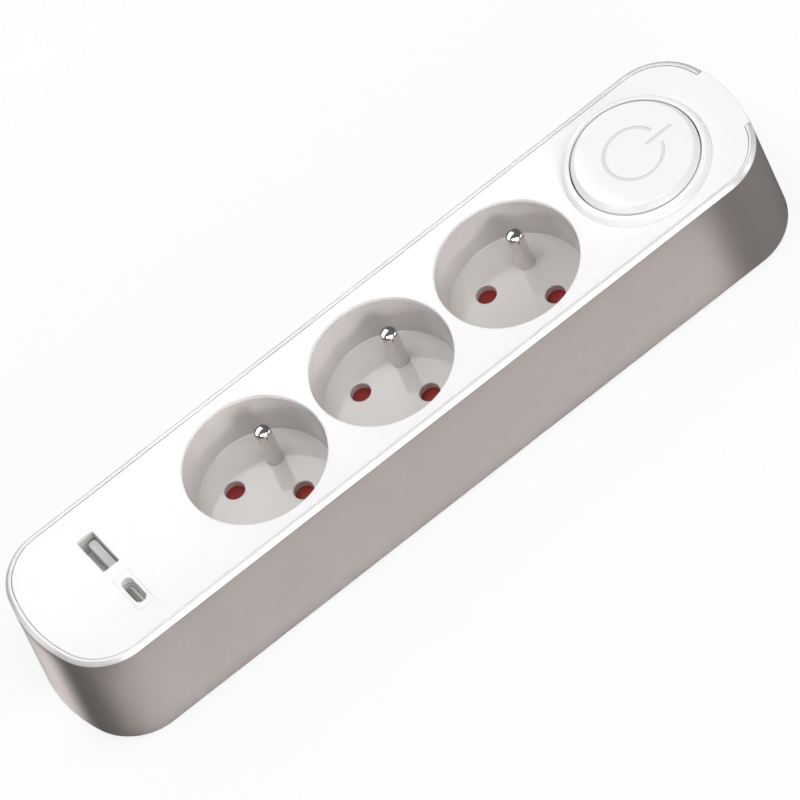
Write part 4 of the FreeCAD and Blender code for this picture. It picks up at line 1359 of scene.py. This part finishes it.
    def build_slim(self) -> None:
        """The slim port: flush insert, can, seat, tongue and its contacts."""
        under = self.top - self.insert_depth
        self.build_insert(under)
        can_top = under - SEAT_GAP
        can = self.can(self.slim_shape(-2 * self.sheet), can_top)
        self.bench.lay(can, "slim_port_can", Slot.SHELL, "usb_c_shell")
        seat_top = can_top - self.slim_seat_drop
        seat = Solid()
        seat.prism(self.slim_shape(-2 * self.sheet - self.fill_gap), self.board_top + self.sheet,
                   seat_top, self.slim_seat_edge)
        self.bench.lay(seat, "slim_port_seat", Slot.TONGUE)
        tongue = Solid()
        lamella_x = self.x + self.lamella_offset
        tongue.prism(block(lamella_x, self.slim_y, self.lamella_thickness, self.lamella_width,
                           self.block_rounding), seat_top, can_top - self.lamella_drop, self.block_edge)
        self.bench.lay(tongue, "slim_port_tongue", Slot.TONGUE_DARK, "usb_c_tongue")
        contacts = Solid()
        face_x = lamella_x + self.lamella_thickness / 2
        for step in range(self.pad_count):
            y = self.slim_y + (step - (self.pad_count - 1) / 2) * self.pad_pitch
            contacts.prism(block(face_x, y, *self.pad, self.pad_rounding), seat_top,
                           can_top - self.pad_drop, self.pad_rounding)
        self.bench.lay(contacts, "slim_port_contacts", Slot.STEEL)

    def build(self) -> None:
        """Build both ports."""
        self.build_wide()
        self.build_slim()


# --- cord entry -----------------------------------------------------------------------------


@dataclass(frozen=True)
class CordEntry:
    """The rubber gland in the end wall."""

    bench: Bench
    box: tuple[Vector, Vector]
    bore: float = 4.25 * MM
    barrel: float = 6.4 * MM
    flange: float = 8.0 * MM
    flange_length: float = 1.6 * MM
    mouth: float = 0.5 * MM
    groove: tuple[float, float, float] = (0.7 * MM, 0.5 * MM, 0.2 * MM)
    groove_depth: float = 0.25 * MM
    groove_edge: float = 0.1 * MM
    inner_edge: float = 0.2 * MM
    outer_edge: float = 0.35 * MM
    mouth_edge: float = 0.3 * MM
    sides: int = 96

    def build(self) -> None:
        """The gland: a flange inside the wall, a barrel and a grooved, flared mouth."""
        gland = Solid()
        low, high = self.box
        length = high.x - low.x
        groove_low = length - self.groove_depth
        brim, outer, inner = (self.bore + self.mouth + step for step in self.groove)
        edge = self.inner_edge
        gland.turned(0, 0, [
            (self.bore, 0, edge), (self.flange, 0, edge), (self.flange, self.flange_length, edge),
            (self.barrel, self.flange_length, 0), (self.barrel, length, self.outer_edge),
            (brim, length, self.groove_edge), (outer, groove_low, 0), (inner, groove_low, 0),
            (self.bore, length - 2 * self.mouth, self.mouth_edge)], self.sides)
        centre = Vector((low.x, (low.y + high.y) / 2, (low.z + high.z) / 2))
        gland.turn_by(Matrix.Translation(centre) @ Matrix.Rotation(math.pi / 2, 4, "Y"))
        self.bench.lay(gland, "cord_entry_gland", Slot.RUBBER, "cord_gland")


# --- studio ---------------------------------------------------------------------------------


@dataclass(frozen=True)
class Lamp:
    """A rectangular lamp that looks at a point; a small spread makes its light a beam."""

    name: str
    place: tuple[float, float, float]
    aim: tuple[float, float, float]
    size: Point
    power: float
    spread: float = 180.0

    def hang(self) -> None:
        """Put the lamp into the scene."""
        data = bpy.data.lights.new(self.name, "AREA")
        data.shape = "RECTANGLE"
        data.size, data.size_y = self.size
        data.energy = self.power
        data.spread = math.radians(self.spread)
        lamp = put(self.name, data)
        look = Vector(self.aim) - Vector(self.place)
        lamp.location = self.place
        lamp.rotation_euler = look.to_track_quat("-Z", "Y").to_euler()
        lamp.visible_camera = False


@dataclass(frozen=True)
class Studio:
    """The pale floor, the lamps and the camera."""

    target: Vector
    world_level: float = 0.14
    floor_albedo: float = 0.15
    floor_glow: float = 0.85
    floor_pale: float = 0.95
    floor_size: float = 24.0
    azimuth: float = math.radians(-15)
    elevation: float = math.radians(54.64)
    roll: float = math.radians(25.55)
    lens: float = 1200.0
    sensor: float = 36.0
    frame_width: float = 0.210
    clip_near: float = 0.1
    clip_far: float = 3.0
    shift_right: float = 5.157 * MM
    shift_up: float = -10.19 * MM

    def lay_floor(self) -> None:
        """A pale floor that keeps the object's shadow and shows pale behind it."""
        plan = bmesh.new()
        bmesh.ops.create_grid(plan, x_segments=1, y_segments=1, size=self.floor_size / 2)
        data = bpy.data.meshes.new("studio_floor")
        plan.to_mesh(data)
        plan.free()
        floor = put("studio_floor", data)
        material = bpy.data.materials.new("studio_floor")
        material.use_nodes = True
        nodes, links = material.node_tree.nodes, material.node_tree.links
        nodes.clear()
        output = nodes.new("ShaderNodeOutputMaterial")
        path = nodes.new("ShaderNodeLightPath")
        dull = nodes.new("ShaderNodeBsdfDiffuse")
        dull.inputs["Color"].default_value = (*(self.floor_albedo,) * 3, 1)
        pale = nodes.new("ShaderNodeBsdfDiffuse")
        pale.inputs["Color"].default_value = (*(self.floor_pale,) * 3, 1)
        glow = nodes.new("ShaderNodeEmission")
        bright = nodes.new("ShaderNodeMixShader")
        bright.inputs[0].default_value = self.floor_glow
        links.new(pale.outputs[0], bright.inputs[1])
        links.new(glow.outputs[0], bright.inputs[2])
        choice = nodes.new("ShaderNodeMixShader")
        links.new(path.outputs["Is Camera Ray"], choice.inputs[0])
        links.new(dull.outputs[0], choice.inputs[1])
        links.new(bright.outputs[0], choice.inputs[2])
        links.new(choice.outputs[0], output.inputs["Surface"])
        data.materials.append(material)

    def light(self) -> None:
        """An even dim room, broad lamps above, and narrow beams onto the walls and into the wells."""
        world = bpy.data.worlds.new("studio_room")
        world.use_nodes = True
        background = world.node_tree.nodes["Background"]
        background.inputs["Color"].default_value = (1, 1, 1, 1)
        background.inputs["Strength"].default_value = self.world_level
        bpy.context.scene.world = world
        for lamp in (
            Lamp("overhead", (-0.05, -0.1, 1.35), (0, 0, 0), (1.0, 0.5), 8.6),
            Lamp("above_back", (-0.3, 0.85, 1.0), (0, 0, 0), (1.4, 0.6), 4.6),
            Lamp("above_front", (0.0, -1.1, 0.6), (0, 0, 0), (0.9, 0.4), 3.8),
            Lamp("above_right", (0.9, -0.4, 0.75), (0, 0, 0), (0.7, 0.6), 3.5),
            Lamp("into_wells", (-0.035, -0.6, 0.211), (-0.035, -0.022, 0.056), (0.22, 0.03), 0.0088,
                 spread=1),
            Lamp("front", (-0.01, -0.5, 0.0095), (-0.01, 0, 0.0095), (0.2, 0.055), 0.025, spread=2),
            Lamp("back", (0.0, 0.5, 0.012), (0.0, 0, 0.012), (0.21, 0.06), 0.02, spread=6),
            Lamp("left_end", (-0.6, 0.0, 0.036), (-0.1, 0, 0.009), (0.016, 0.05), 0.0043, spread=1.7),
        ):
            lamp.hang()

    def set_camera(self) -> None:
        """A long lens from above the front, turned to set the strip across the frame."""
        a, e = self.azimuth, self.elevation
        back = Vector((math.sin(a) * math.cos(e), -math.cos(a) * math.cos(e), math.sin(e)))
        level = Vector((math.cos(a), math.sin(a), 0))
        upright = back.cross(level)
        right = level * math.cos(self.roll) - upright * math.sin(self.roll)
        up = level * math.sin(self.roll) + upright * math.cos(self.roll)
        data = bpy.data.cameras.new("camera")
        data.lens, data.sensor_width = self.lens, self.sensor
        distance = self.lens / self.sensor * self.frame_width
        data.clip_start, data.clip_end = distance * self.clip_near, distance * self.clip_far
        camera = put("camera", data)
        centre = self.target + right * self.shift_right + up * self.shift_up
        turn = Matrix((right, up, back)).transposed().to_4x4()
        camera.matrix_world = Matrix.Translation(centre + back * distance) @ turn
        bpy.context.scene.camera = camera

    def build(self) -> None:
        """Lay the floor, hang the lamps and set the camera."""
        self.lay_floor()
        self.light()
        self.set_camera()
        bpy.context.scene.view_settings.view_transform = "Standard"


# --- assembly -------------------------------------------------------------------------------


def middle(node: str) -> Vector:
    """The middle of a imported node's box."""
    low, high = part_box(node)
    return (low + high) / 2


def mirrored(x: float, y: float) -> tuple[Point, ...]:
    """Four places, one in each quarter."""
    return tuple((x * end, y * side) for end in (-1, 1) for side in (-1, 1))


def main() -> None:
    """Build every sub-assembly in order and set the studio round it."""
    logging.basicConfig(level=logging.INFO, format="%(message)s")
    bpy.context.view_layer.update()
    bench = Bench()
    bench.dress_nodes(frame["nodes"])

    housing_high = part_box("base_housing")[1]
    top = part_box("top_cover")[1].z
    plate_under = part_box("socket_cup_1")[1].z
    outline = Outline(housing_high.x, housing_high.y)
    socket_xs = tuple(middle(f"socket_cup_{number}").x for number in (1, 2, 3))
    button_x = middle("power_button").x
    port_x = middle("usb_a_shell").x
    port_ys = (middle("usb_a_shell").y, middle("usb_c_shell").y)
    screw_box, foot_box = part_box("case_screws"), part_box("rubber_feet")
    screw_y = screw_box[1].y - Underside.head_radius
    pitch = socket_xs[1] - socket_xs[0]
    screws = mirrored(pitch * 1.5, screw_y) + mirrored(pitch * 0.5, screw_y)
    feet = mirrored(foot_box[1].x - Underside.foot_radius, foot_box[1].y - Underside.foot_radius)

    Casing(bench, outline, top, socket_xs, button_x, port_x, port_ys, feet, screws).build()
    Underside(bench, feet, screws).build()
    for number, x in enumerate(socket_xs, start=1):
        cup_low, cup_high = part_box(f"socket_cup_{number}")
        Socket(bench, number, x, cup_high.z, cup_low.z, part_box(f"earth_pin_{number}")).build()
    PushSwitch(bench, button_x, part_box("power_button")[1].z, top, plate_under).build()
    ChargingPorts(bench, port_x, *port_ys, top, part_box("port_board")[1].z, plate_under).build()
    CordEntry(bench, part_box("cord_gland")).build()
    Studio(Vector((0, 0, top))).build()


if __name__ == "__main__":
    main()
